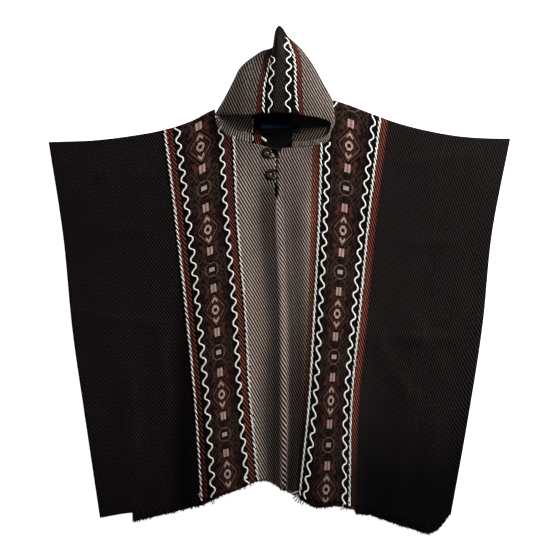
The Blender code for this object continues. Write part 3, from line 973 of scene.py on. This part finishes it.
def fringe(name, hem, material, source, above):
    """Loose yarns below a hem. hem is its points from left to right, and above the yarns' layer."""
    path = [p for p in hem if p[0] > FRINGE_START]
    run = run_along(np.array(path)[:, :2])[-1]
    count = int(run / FRINGE_PITCH)
    bundle = Bundle()
    for k, root in enumerate(along_path(path, (np.arange(count) + 0.5) / count)):
        x, y, z, cut = root
        x, y, z = x + source.uniform(-0.5, 0.5), y + 2.5, z + source.uniform(-0.3, 0.3) * above
        tuft = 0.5 + 0.5 * math.sin(0.9 * k + 2.2 * math.sin(0.37 * k))
        length = float(straight(FRINGE_LENGTH, x)) * source.uniform(0.93, 1.0) + 3
        length *= 0.90 + 0.10 * tuft
        # A few yarns hang lower than the others.
        length += 4.5 * source.random() ** 2 * (source.random() < 0.3) * (length > 3)
        lean = source.gauss(0, 0.022) + 0.00012 * x
        bend, twist = source.uniform(-0.6, 0.6), source.uniform(0, 6.3)
        s = np.linspace(0, 1, 7)
        xs = x + length * (lean * s + 0.02 * np.sin(5 * s + twist)) + bend * s * s
        radius = source.uniform(*FRINGE_RADIUS)
        zs = z + (radius + 0.2 - z) * 0.15 * s + 0.5 * np.sin(4 * s + twist) * s
        thick = radius * (1.05 - 0.2 * s**2 + 0.12 * np.sin(14 * s + twist))
        yarn = np.column_stack([xs, y - length * s, np.maximum(zs, radius + 0.1)])
        bundle.tube(yarn, (0, 0, 1), thick, 5, float(cut) + source.uniform(-2.5, 2.5))
    return bundle.make(name, material)


def fringes(material):
    """The fringes of the front and the back."""
    source = random.Random(11)
    lines, _, sheet = front_sheet()[:3]
    cuts = cut_of(lines)
    front_hem = [(x, y, z + CLOTH - 1.0, cut) for (x, y, z), cut in zip(sheet[-1], cuts)]
    xs = np.linspace(HEM[0][0], HEM[-1][0], 160)
    back_hem = np.column_stack(
        [xs, curve(HEM, xs), np.full(len(xs), CLOTH / 2), np.interp(xs, across(lines, 1), cuts)]
    )
    front = fringe("front_fringe", front_hem, material, source, 1.0)
    return front, fringe("back_fringe", back_hem, material, source, 0.4)


# --- Buttons, loops and label ---


def button(place, wood, thread):
    """A turned wooden button with a dished face, four holes and a cross of thread."""
    x, y = BUTTONS[place]
    angles = np.arange(BUTTON_SIDES) * 2 * math.pi / BUTTON_SIDES
    points = [
        (x + r * math.cos(a), y + r * math.sin(a), BUTTON_BASE + z)
        for r, z in BUTTON_PROFILE for a in angles
    ]
    rings = np.arange(len(points)).reshape(-1, BUTTON_SIDES)
    faces = []
    for inner, outer in zip(rings, rings[1:]):
        faces += np.stack([inner, outer, np.roll(outer, -1), np.roll(inner, -1)], -1).tolist()
    faces += [rings[0].tolist(), rings[-1][::-1].tolist()]
    mesh = bpy.data.meshes.new(f"button_disc_{place}")
    mesh.from_pydata((np.array(points) * MM).tolist(), [], faces)
    mesh.shade_smooth()
    mesh.materials.append(wood)
    disc = placed(f"button_disc_{place}", mesh)
    holes = [(HOLE_PLACE * sx, HOLE_PLACE * sy) for sx, sy in ((-1, -1), (1, -1), (1, 1), (-1, 1))]
    for k, (hx, hy) in enumerate(holes):
        bpy.ops.mesh.primitive_cylinder_add(
            vertices=16, radius=HOLE_RADIUS * MM, depth=12 * MM,
            location=((x + hx) * MM, (y + hy) * MM, (BUTTON_BASE + 3) * MM),
        )
        cutter = bpy.context.object
        cut = disc.modifiers.new(f"hole_{k}", "BOOLEAN")
        cut.operation = "DIFFERENCE"
        cut.object = cutter
        bpy.context.view_layer.objects.active = disc
        bpy.ops.object.modifier_apply(modifier=cut.name)
        bpy.data.objects.remove(cutter, do_unlink=True)
    cross = Bundle()
    s = np.linspace(0, 1, 9)
    rise = BUTTON_BASE + 2.2 + 1.5 * np.sin(math.pi * s) ** 0.5
    for (ax, ay), (bx, by) in ((holes[0], holes[2]), (holes[1], holes[3])):
        for aside in (-0.245, 0.245):
            xs, ys = x + ax + (bx - ax) * s + aside, y + ay + (by - ay) * s - aside
            cross.tube(np.column_stack([xs, ys, rise]), (0, 0, 1), 0.38)
    return disc, cross.make(f"button_thread_{place}", thread)


def loop(place, material):
    """A twisted cord loop: from the slit's right lip, round the button and back."""
    x, y = BUTTONS[place]
    reach = BUTTON_RADIUS + LOOP_RADIUS + SEAM
    end = LINES[3][0] + LOOP_END - x
    turns = [math.radians(a) for a in range(72, 289, 24)]
    route = [
        (end, reach * 0.55), (end * 0.6, reach * 0.9),
        *((reach * math.cos(a), reach * math.sin(a)) for a in turns),
        (end * 0.6, -reach * 0.9), (end, -reach * 0.55),
    ]
    path = along_path(route, np.linspace(0, 1, 120)) + (x, y)
    line = np.column_stack([path, np.full(len(path), BUTTON_BASE + LOOP_RADIUS)])
    side = np.cross(unit(np.gradient(line, axis=0)), (0, 0, 1))
    bundle = Bundle()
    for k in range(3):
        turn = 2 * math.pi * (run_along(line) / LOOP_TWIST + k / 3)
        strand = line + side * (0.55 * np.cos(turn))[:, None]
        strand[:, 2] += 0.55 * np.sin(turn)
        bundle.tube(strand, (0, 0, 1), 0.72)
    return bundle.make(f"cord_loop_{place}", material)


def label(material, thread):
    """A plain woven ribbon, folded under at its ends and sewn down."""
    (x, y), (width, length, thickness) = LABEL["low"], LABEL["size"]
    base = CLOTH + SEAM
    us, vs = np.meshgrid(np.linspace(0, 1, 60), np.linspace(1, 0, 14))
    ends = 0.25 * (np.minimum(us, 1 - us) < 0.06)
    z = base + 0.25 + ends + 0.25 * np.sin(9 * us + 2 * vs) ** 2
    grid = np.stack([x + width * us, y + length * vs, z], -1)
    places = np.stack([width * us, length * (vs - 1)], -1)
    made = grid_object("woven_label", grid, places, width * us, [material])
    thicken(made, thickness * 0.6, 0)
    bundle = Bundle()
    for row in (0.08, 0.92):
        for k in range(LABEL_STITCHES):
            a = x + 2 + (width - 4) * k / LABEL_STITCHES
            path = [
                (a + t * 2.6, y + length * row, base + 0.85 + rise)
                for t, rise in ((0, 0), (0.5, 0.25), (1, 0))
            ]
            bundle.tube(path, (0, 0, 1), 0.22, 5)
    return made, bundle.make("label_stitches", thread)


# --- Materials ---


class Number:
    """A number that a material works out at each point. Python's operators add its nodes."""

    def __init__(self, socket):
        self.socket = socket

    def maths(self, operation, *others, first=None):
        values = (self, *others) if first is None else (first, self)
        return Number(added(self, "Math", *values, operation=operation).outputs[0])

    def __rsub__(self, other):
        return self.maths("SUBTRACT", first=other)

    __add__ = __radd__ = partialmethod(maths, "ADD")
    __sub__ = partialmethod(maths, "SUBTRACT")
    __mul__ = __rmul__ = partialmethod(maths, "MULTIPLY")
    __truediv__ = partialmethod(maths, "DIVIDE")
    __lt__ = partialmethod(maths, "LESS_THAN")
    __gt__ = partialmethod(maths, "GREATER_THAN")
    __abs__ = partialmethod(maths, "ABSOLUTE")
    floor = partialmethod(maths, "FLOOR")
    fraction = partialmethod(maths, "FRACT")
    sine = partialmethod(maths, "SINE")
    power = partialmethod(maths, "POWER")
    most = partialmethod(maths, "MAXIMUM")
    least = partialmethod(maths, "MINIMUM")


def put(slot, value):
    """Sets a node's input to a number, a colour, or another node's output."""
    if isinstance(value, Number):
        value = value.socket
    if isinstance(value, bpy.types.NodeSocket):
        slot.id_data.links.new(value, slot)
    elif isinstance(value, tuple) and slot.type == "RGBA":
        slot.default_value = (*value, 1)
    else:
        slot.default_value = value


def added(beside, kind, *values, **settings):
    """A new node in the material of another node's part, with its settings and first inputs."""
    owner = beside.socket if isinstance(beside, Number) else beside
    node = owner.id_data.nodes.new(f"ShaderNode{kind}")
    for name, value in settings.items():
        setattr(node, name, value)
    for slot, value in zip(node.inputs, values):
        put(slot, value)
    return node


def inside(number, low, high):
    """1 where a number lies between two others, and 0 elsewhere."""
    return (number > low) * (number < high)


def ramp(number, low, high):
    """Rises from 0 to 1 between two numbers."""
    return ((number - low) / (high - low)).most(0.0).least(1.0)


def mixed(factor, first, second):
    """A colour between two."""
    node = added(factor, "Mix", factor, data_type="RGBA")
    put(node.inputs[6], first)
    put(node.inputs[7], second)
    return node.outputs[2]


def scaled(colour, factor):
    """A colour made brighter or darker by a number."""
    node = added(factor, "VectorMath", colour, operation="SCALE")
    put(node.inputs["Scale"], factor)
    return node.outputs[0]


def joined(x, y):
    """A vector from two numbers."""
    return added(x, "CombineXYZ", x, y).outputs[0]


def noise(place, scale, detail=3.0):
    """Soft noise from 0 to 1."""
    node = added(place, "TexNoise", place)
    node.inputs["Scale"].default_value = scale
    node.inputs["Detail"].default_value = detail
    return Number(node.outputs["Fac"])


def chance(x):
    """A number from 0 to 1 that differs from yarn to yarn."""
    node = added(x, "TexWhiteNoise", joined(x, 0.0), noise_dimensions="2D")
    return Number(node.outputs["Value"])


def new_material(name, roughness, sheen=0.0):
    """A material and its shader."""
    made = bpy.data.materials.new(name)
    made.use_nodes = True
    shader = made.node_tree.nodes["Principled BSDF"]
    shader.inputs["Roughness"].default_value = roughness
    shader.inputs["Sheen Weight"].default_value = sheen
    shader.inputs["Sheen Roughness"].default_value = 0.5
    shader.inputs["Specular IOR Level"].default_value = 0.06
    return made, shader


def skin_place(shader):
    """The two numbers of the skin map, in millimetres."""
    place = added(shader, "UVMap", uv_map="skin").outputs[0]
    parts = added(shader, "SeparateXYZ", place).outputs
    return Number(parts[0]) * 1000, Number(parts[1]) * 1000


def attribute(shader, name):
    """A number that the mesh's points carry."""
    return Number(added(shader, "Attribute", attribute_name=name).outputs["Fac"])


def coat(shader, colour, height, distance):
    """Gives a shader its colour, and a relief of a height from 0 to 1 times a distance."""
    put(shader.inputs["Base Color"], colour)
    node = added(shader, "Bump")
    node.inputs["Distance"].default_value = distance * MM
    put(node.inputs["Height"], height)
    put(shader.inputs["Normal"], node.outputs[0])


def twill(cut, down):
    """A 2/2 twill: where the warp is on top, and the height of its yarns."""
    end, pick = cut / WARP_PITCH, down / WEFT_PITCH
    turn = ((end.floor() - pick) / TWILL_REPEAT).fraction()
    over = turn < 0.5
    crown = 1.0 - abs(end.fraction() - 0.5) * 1.5
    arch = (turn * (math.pi / 0.5)).sine().most(0.0)
    ridge = 1.0 - abs(pick.fraction() - 0.5) * 1.6
    height = over * (0.35 + 0.65 * arch * crown) + (1.0 - over) * ridge * 0.3
    return over, height


def stripe_colours(cut, base, stripes):
    """The warp's and the weft's colours across the cloth."""
    warp, weft = base
    for low, high, stripe_warp, stripe_weft in stripes:
        here = inside(cut, low, high)
        warp, weft = mixed(here, warp, stripe_warp), mixed(here, weft, stripe_weft)
    return warp, weft


def motifs(cut, phase, warp):
    """The bands' woven motifs: an eye in a diamond, stepped blocks, and a hexagon with a lattice on
    its sides. Each is the same on its left and right, and above and below the eye. Gives the warp's
    colour, where the motifs are, and their floats' height."""
    left = cut < 0.0
    middle = left * LEFT_MOTIF + (1.0 - left) * RIGHT_MOTIF
    float_place = (cut - middle) / FLOAT_PITCH
    x = abs(float_place.floor() + 0.5) * FLOAT_PITCH
    from_eye = abs((phase + 0.5).fraction() - 0.5) * MOTIF_REPEAT
    y = (from_eye / WEFT_PITCH + 0.5).floor() * WEFT_PITCH
    w = MOTIF_REPEAT / 2 - y
    ring = (x / 9.9) * (x / 9.9) + (y / 11.6) * (y / 11.6)
    diamond = x / 26 + y / 36
    rising, falling = (abs((x / 12 + w / run).fraction() - 0.5) > 0.42 for run in (17, -17))
    mottle = noise(joined((cut / FLOAT_PITCH).floor(), y / WEFT_PITCH), 0.42)
    in_motif = x < 43.0
    fields = (
        # where, and the colour
        (in_motif, mixed(ramp(mottle, 0.45, 0.66), MOTIF_GROUND, MOTIF_EARTH)),
        (rising.most(falling) * inside(x, 12, 42) * (w < 48.0), MOTIF_OLIVE),
        (diamond < 1.54, MOTIF_DIM),
        (diamond < 1.36, MOTIF_GROUND),
        (diamond < 1.14, MOTIF_BROWN),
        (diamond < 0.95, MOTIF_GROUND),
        (diamond < 0.84, MOTIF_RED),
        (ring < 1.7, MOTIF_GROUND),
        (ring < 1.0, MOTIF_PALE),
        ((x < 4.2) * (y < 4.0), MOTIF_TAN),
        ((x < 4.2) * (y < 2.0), BLACK),
        ((x < 2.0) * (y < 4.0), BLACK),
        ((abs(x * 1.4 + y - 30.5) < 3.8) * (x < 8.0), MOTIF_PALE),
        (inside(x, 7.5, 21.5) * inside(y, 44, 57), MOTIF_PINK),
        (inside(x, 14.5, 25) * inside(y, 35, 45), MOTIF_PINK),
        ((x < 7.5) * inside(y, 44.5, 67), MOTIF_PALE),
        ((x < 2.6) * inside(y, 44.5, 67), MOTIF_ROSE),
        ((abs(x + w * 0.61 - 20.0) < 1.5) * (w < 19.0), MOTIF_TAN),
        ((abs(w - 18.4) < 1.7) * (x < 9.6), MOTIF_TAN),
        ((abs((w - 18.4) - (x - 9.0) * 1.2) < 2.0) * inside(x, 9, 31), MOTIF_OLIVE),
        ((abs(w - (x - 20.0) * 0.85) < 1.6) * inside(x, 20, 38), MOTIF_OLIVE),
        ((x < 6.6) * (w < 6.7), MOTIF_PALE),
    )
    for here, colour in fields:
        warp = mixed(here, warp, colour)
    return warp, in_motif, 1.0 - abs(float_place.fraction() - 0.5) * 1.5


def darkened(shade, places):
    """A brightness with its darker places, each a depth and where it is."""
    for depth, where in places:
        shade = shade * (1.0 - depth * where)
    return shade


def hood_painted_shade_and_mottle(shade, cut, down, worn):
    """The hood's brightness: painted shade darkens its stripes towards its tip, and its middle is
    unevenly mottled.
    """
    up, middle = 0.0 - down, inside(cut, HOOD_LEFT_RED[1], HOOD_RIGHT_RED[0])
    # Painted shade towards the tip, then the middle's own mottle.
    return darkened(shade, (
        (0.55, ramp(up, 500, 570) * inside(cut, *HOOD_LEFT_RED)),
        (0.6, ramp(up, 555, 600) * inside(cut, *HOOD_RIGHT_RED)),
        (0.55, ramp(up, 585, 610) * middle),
        (middle, 1.0 - worn * 1.9),
    ))


def body_painted_shade(shade, cut, down):
    """The body's brightness, with painted shade beside the middle's fold, below the neck, at the
    lower right and a little at the hem. Its sides are painted lighter part way down."""
    high = 1.0 - ramp(down, 300, 560)
    left = ramp(cut + 26 * ramp(down, 600, 800), -76, -42)
    left = left * (1.0 - ramp(cut - 8 * high, -22, -14)) * (0.62 + 0.16 * high)
    right = ramp(cut, -6, 18) * (1.0 - ramp(cut, 62, 90) * (1.0 - ramp(down, 250, 600)))
    right = right * inside(cut, -4, 113) * (0.52 + 0.22 * ramp(down, 420, 700))
    near_neck = (1.0 - ramp(down, 110, 240)) * inside(cut, -116, 114)
    side, right_side = abs(cut + 18.5) > 277.5, cut > 259.0
    # Painted shade; the sides' depth below 0 paints them lighter.
    return darkened(shade, (
        (left + right, ramp(down, 150, 240)),
        (0.42 + 0.13 * (cut > 0.0), near_neck),
        (-0.3 * side, ramp(down, 250, 420)),
        (0.10 + 0.25 * side, ramp(down, 740, 930)),
        (0.8 * right_side, ramp(down + 0.2 * (cut - 300.0), 700, 880)),
    ))


def woven(name, base, stripes, with_motifs=False, painted=(), on_hood=False):
    """The striped twill. with_motifs gives it the body's motifs and shading, on_hood the hood's
    uneven brown middle and its shading, and painted are the cuts of ropes and zigzags that lie in
    the cloth's face."""
    made, shader = new_material(name, 0.92, 0.02)
    across_yarns, down = skin_place(shader)
    cut = attribute(shader, "cut")
    over, height = twill(across_yarns, down)
    warp, weft = stripe_colours(cut, base, stripes)
    if with_motifs:
        warp, in_motif, crown = motifs(cut, attribute(shader, "phase"), warp)
        over = over.most(in_motif)
        height = height * (1.0 - in_motif) + in_motif * crown
    for kind, at in painted:
        warp = mixed(painted_yarn(kind, cut - at, down), warp, WHITE)
    if on_hood:
        worn = noise(joined(cut, down * 0.6), 0.28)
        warp = mixed(inside(cut + (worn - 0.5) * 26.0, -13, 14), warp, HOOD_BROWN)
    flecks = noise(joined(across_yarns * 0.9, down * 0.22), 1.0)
    patches = noise(joined(cut, down), 0.012)
    yarn = chance((across_yarns / WARP_PITCH).floor())
    shade = (0.55 + 0.9 * flecks) * (0.82 + 0.36 * patches) * (0.86 + 0.28 * yarn)
    # The colour follows the yarns' height: painted shade between the yarns and painted light on
    # their crowns.
    shade = shade * (0.02 + 1.5 * height.power(2.6))
    if on_hood:
        shade = hood_painted_shade_and_mottle(shade, cut, down, worn)
    if with_motifs:
        faded = inside(cut, -142, -122) * (1.0 - ramp(down, 250, 420))
        warp = mixed(faded, warp, DULL_RED)
        shade = body_painted_shade(shade, cut, down)
    fuzz = noise(joined(across_yarns, down * 0.5), 2.2)
    coat(shader, scaled(mixed(over, weft, warp), shade), height + fuzz * 0.35, 0.9)
    return made


def painted_yarn(kind, off, down):
    """Where a rope or a zigzag shows in the cloth's face."""
    if kind == "rope":
        along = (down / STITCH_PITCH).fraction()
        return (abs(off - (along - 0.5) * STITCH_LEAN) < 1.7) * (along < 0.86)
    swing = (down * (2 * math.pi / ZIGZAGS[0][3])).sine() * ZIGZAGS[0][4]
    return abs(off - swing) < 2.3


def yarn_material(name, colour, ply=5.0):
    """A twisted yarn of one colour. ply is the length of its twist."""
    made, shader = new_material(name, 0.85, 0.04)
    along, around = skin_place(shader)
    twist = plied(along, around, ply)
    flecks = noise(joined(along, around * 0.01), 0.8)
    # Painted shade in the grooves between the plies.
    shade = (0.88 + 0.24 * flecks) * (0.78 + 0.3 * twist)
    coat(shader, scaled(colour, shade), twist + flecks * 0.3, 0.35)
    return made


def plied(along, around, ply):
    """The height of a yarn's two twisted plies."""
    return abs(((along / ply + around / 1000) * 2.0).fraction() - 0.5) * 2.0


def fringe_material(base, stripes):
    """Loose yarns that keep the colour of their stripe."""
    made, shader = new_material("fringe_yarn", 0.9, 0.02)
    cut = attribute(shader, "cut")
    warp, weft = stripe_colours(cut, base, stripes)
    colour = mixed(chance((cut * 3.7).floor()) < 0.2, warp, weft)
    twist = plied(*skin_place(shader), 4.5)
    # Painted shade in the grooves between the plies, and a brightness that differs from yarn to
    # yarn.
    shade = (0.25 + 0.45 * chance((cut * 9.1).floor())) * (0.5 + 0.4 * twist)
    coat(shader, scaled(colour, shade), twist, 0.3)
    return made


def wood_material():
    """Dark coconut shell, lightly polished, with pale speckles that are painted glints."""
    made, shader = new_material("coconut_shell", 0.3)
    shader.inputs["Specular IOR Level"].default_value = 0.22
    place = added(shader, "TexCoord").outputs["Object"]
    grain = noise(place, 260.0, 4.0)
    # Painted glints.
    glint_specks = noise(place, 900.0, 2.0) > 0.62
    colour = mixed(grain, (0.004, 0.0025, 0.002), (0.02, 0.009, 0.006))
    coat(shader, mixed(glint_specks * 0.4, colour, (0.10, 0.06, 0.04)), grain, 0.15)
    return made


def ribbon_material():
    """Navy ribbon made darker with painted shade, with a painted highlight: a pale blue line that
    fades along it.
    """
    made, shader = new_material("navy_ribbon", 0.5, 0.1)
    along, over = skin_place(shader)
    rows = (over * 4.0).sine() * 0.5 + 0.5
    # The painted highlight.
    line = ramp(6.8 - abs(over + 8.5) - along * 0.03, 0, 5.5) * (1.0 - along / 92).most(0.0)
    line = line * ramp(along, 0, 10)
    colour = mixed(line, (0.0012, 0.0018, 0.005), (0.016, 0.13, 0.34))
    relief = rows + (along * 6.0).sine() * 0.3
    # Painted shade between the woven rows.
    coat(shader, scaled(colour, 0.75 + 0.5 * rows), relief, 0.12)
    return made


BODY_STRIPES = (
    # from, to, warp, weft
    (-116, 114, BEIGE, BEIGE_WEFT),
    (-296, -112, BLACK, BLACK_WEFT),
    (-284.5, -267, BRICK, RED_WEFT),
    (-279.5, -275, CRIMSON, RED_WEFT),
    (-271, -267, RUST, RED_WEFT),
    (-140.5, -123, BRICK, RED_WEFT),
    (-135, -129, RUST, RED_WEFT),
    (111, 259, BLACK, BLACK_WEFT),
    (88, 109, BRIGHT_BRICK, RED_WEFT),
    (90, 97, BRIGHT_RUST, RED_WEFT),
    (104, 109, BRIGHT_CRIMSON, RED_WEFT),
    (260, 276, BRICK, RED_WEFT),
    (265, 269, RUST, RED_WEFT),
    (273, 277, CRIMSON, RED_WEFT),
)
FRINGE_STRIPES = BODY_STRIPES + (
    (-246, -162, MOTIF_BROWN, RED_WEFT),
    (144, 230, MOTIF_BROWN, RED_WEFT),
    # The right side's fringe is darker: painted shade at the lower right.
    (276, 600, SIDE_WEFT, BLACK_WEFT),
)
HOOD_LEFT_RED, HOOD_RIGHT_RED = (-59.5, -44.5), (52, 65)
HOOD_STRIPES = (
    (*HOOD_LEFT_RED, HOOD_RED, RED_WEFT),
    (-53, -48, CRIMSON, RED_WEFT),
    (-44.5, 52, BLACK, BLACK_WEFT),
    (-8, 9, HOOD_BROWN, HOOD_BROWN),
    (*HOOD_RIGHT_RED, HOOD_RED, RED_WEFT),
)
# Painted shade below the hood's rim: the inside's black also runs over the place of its red stripe,
# and its beige is a shaded copy. The nape's flap keeps its red.
INNER_STRIPES = (
    (-69, 32, BLACK, BLACK_WEFT),
    (32, 150, SHADED_INNER_BEIGE, BEIGE_WEFT),
)
FLAP_STRIPES = INNER_STRIPES + ((-62, -45.5, DULL_RED, RED_WEFT),)
EDGE_STRIPES = (
    (-69, 24, BLACK, BLACK_WEFT),
    (-62, -45.5, BRICK, RED_WEFT),
    (24, 150, SHADED_EDGE_BEIGE, BEIGE_WEFT),
)


# --- The scene ---

FLOOR_HALF = 4.0
FLOOR_WHITE, FLOOR_GLOW = 0.86, 0.92
SKY = 0.11
LAMPS = (
    # name, place, target, size, power
    ("key", (1.6, 1.3, 0.76), (0.0, 0.0, 0.0), 0.7, 100),
    ("fill", (-0.9, 1.9, 1.5), (0.0, 0.1, 0.0), 1.2, 20),
)
LENS, CAMERA_PLACE = 85, (0.00125, -0.00125, 3.305)


def ground():
    """A plain near-white floor, a little brighter than the lamps alone would make it."""
    mesh = bpy.data.meshes.new("floor")
    corners = [(x * FLOOR_HALF, y * FLOOR_HALF, 0) for x, y in ((-1, -1), (1, -1), (1, 1), (-1, 1))]
    mesh.from_pydata(corners, [], [(0, 1, 2, 3)])
    floor = placed("floor", mesh)
    floor.location.z = -0.0005
    made, shader = new_material("pale_floor", 0.9)
    put(shader.inputs["Base Color"], (FLOOR_WHITE,) * 3)
    put(shader.inputs["Emission Color"], (1, 1, 1))
    put(shader.inputs["Emission Strength"], FLOOR_GLOW)
    mesh.materials.append(made)
    floor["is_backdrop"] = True


def area_light(name, place, target, size, power):
    """A soft lamp that looks at a target."""
    lamp = bpy.data.lights.new(name, "AREA")
    lamp.shape = "DISK"
    lamp.size = size
    lamp.energy = power
    made = placed(name, lamp)
    made.location = place
    made.rotation_euler = (Vector(target) - Vector(place)).to_track_quat("-Z", "Y").to_euler()


def lights_and_camera():
    """Soft studio light that comes mostly from the upper right, and a camera that looks down."""
    world = bpy.data.worlds.new("studio")
    world.use_nodes = True
    sky = world.node_tree.nodes["Background"].inputs
    sky["Color"].default_value = (1, 1, 1, 1)
    sky["Strength"].default_value = SKY
    bpy.context.scene.world = world
    bpy.context.scene.view_settings.view_transform = "Standard"
    for lamp in LAMPS:
        area_light(*lamp)
    lens = bpy.data.cameras.new("camera")
    lens.lens = LENS
    camera = placed("camera", lens)
    camera.location = CAMERA_PLACE
    bpy.context.scene.camera = camera


def dress():
    """Makes each piece and says which body it rides on and what it stands for."""
    base = (SIDE, SIDE_WEFT)
    body = woven("striped_wool", base, BODY_STRIPES, with_motifs=True)
    painted = [("rope", cut) for cut in ROPES]
    painted += [("zigzag", cut + 1.15 * offset) for cut, offset, *_ in ZIGZAGS]
    body_back = woven("striped_wool_back", base, BODY_STRIPES, with_motifs=True, painted=painted)
    hood_outer = woven("hood_wool", (HOOD_BEIGE, BEIGE_WEFT), HOOD_STRIPES, on_hood=True)
    hood_inner = woven("hood_wool_inside", (BEIGE, BEIGE_WEFT), INNER_STRIPES)
    flap_wool = woven("hood_wool_nape", (BEIGE, BEIGE_WEFT), FLAP_STRIPES)
    edge_wool = woven("hood_wool_edge", (LIT_EDGE_BEIGE, BEIGE_WEFT), EDGE_STRIPES)
    white = yarn_material("white_yarn", WHITE)
    black = yarn_material("black_cord", (0.010, 0.009, 0.009), ply=2.6)
    dark_thread = yarn_material("dark_thread", (0.02, 0.014, 0.012), ply=1.5)
    # The buttons' thread is pale, so that its cross is also a painted highlight at each button's
    # middle.
    pale_thread = yarn_material("pale_thread", (0.62, 0.56, 0.50), ply=1.5)
    loose = fringe_material(base, FRINGE_STRIPES)

    front = front_cloth(body)
    back = back_cloth(body_back)
    hood = hood_cloth(hood_outer, hood_inner)
    edge_left = hood_edge("edge_cloth_left", *EDGE_LEFT, edge_wool)
    edge_right = hood_edge("edge_cloth_right", *EDGE_RIGHT, edge_wool, EDGE_RIGHT_TOP, 1.6)
    front_fringe, back_fringe = fringes(loose)
    bands, hood_bands = front_yarns(white), hood_yarns(white)
    flap = nape_flap(flap_wool)
    ribbon, ribbon_stitches = label(ribbon_material(), dark_thread)
    wood = wood_material()
    fasteners = [
        (place, *button(place, wood, pale_thread), loop(place, black)) for place in BUTTONS
    ]

    pieces = (
        # slot, the node that it replaces, and the piece
        ("striped_wool", "front_panel", front),
        ("striped_wool", "back_panel", back),
        ("hood_wool", "hood", hood),
        ("hood_wool", "hood_edge_left", edge_left),
        ("hood_wool", "hood_edge_right", edge_right),
        ("fringe_yarn", "fringe_front", front_fringe),
        ("fringe_yarn", "fringe_back", back_fringe),
        ("navy_ribbon", "neck_label", ribbon),
        *(("coconut_shell", f"button_{place}", disc) for place, disc, _, _ in fasteners),
        *(("black_cord", f"loop_{place}", cord) for place, _, _, cord in fasteners),
        *(("striped_wool", None, piece) for piece in bands),
        *(("hood_wool", None, piece) for piece in (*hood_bands, flap)),
        ("navy_ribbon", None, ribbon_stitches),
        *(("coconut_shell", None, cross) for _, _, cross, _ in fasteners),
    )
    for slot, node, piece in pieces:
        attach(piece, "root")
        if node:
            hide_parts(node)


ground()
lights_and_camera()
dress()
boxes = {"cad": CAD_BOX, "visual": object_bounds()}
boxes = {name: [[float(c) for c in corner] for corner in box] for name, box in boxes.items()}
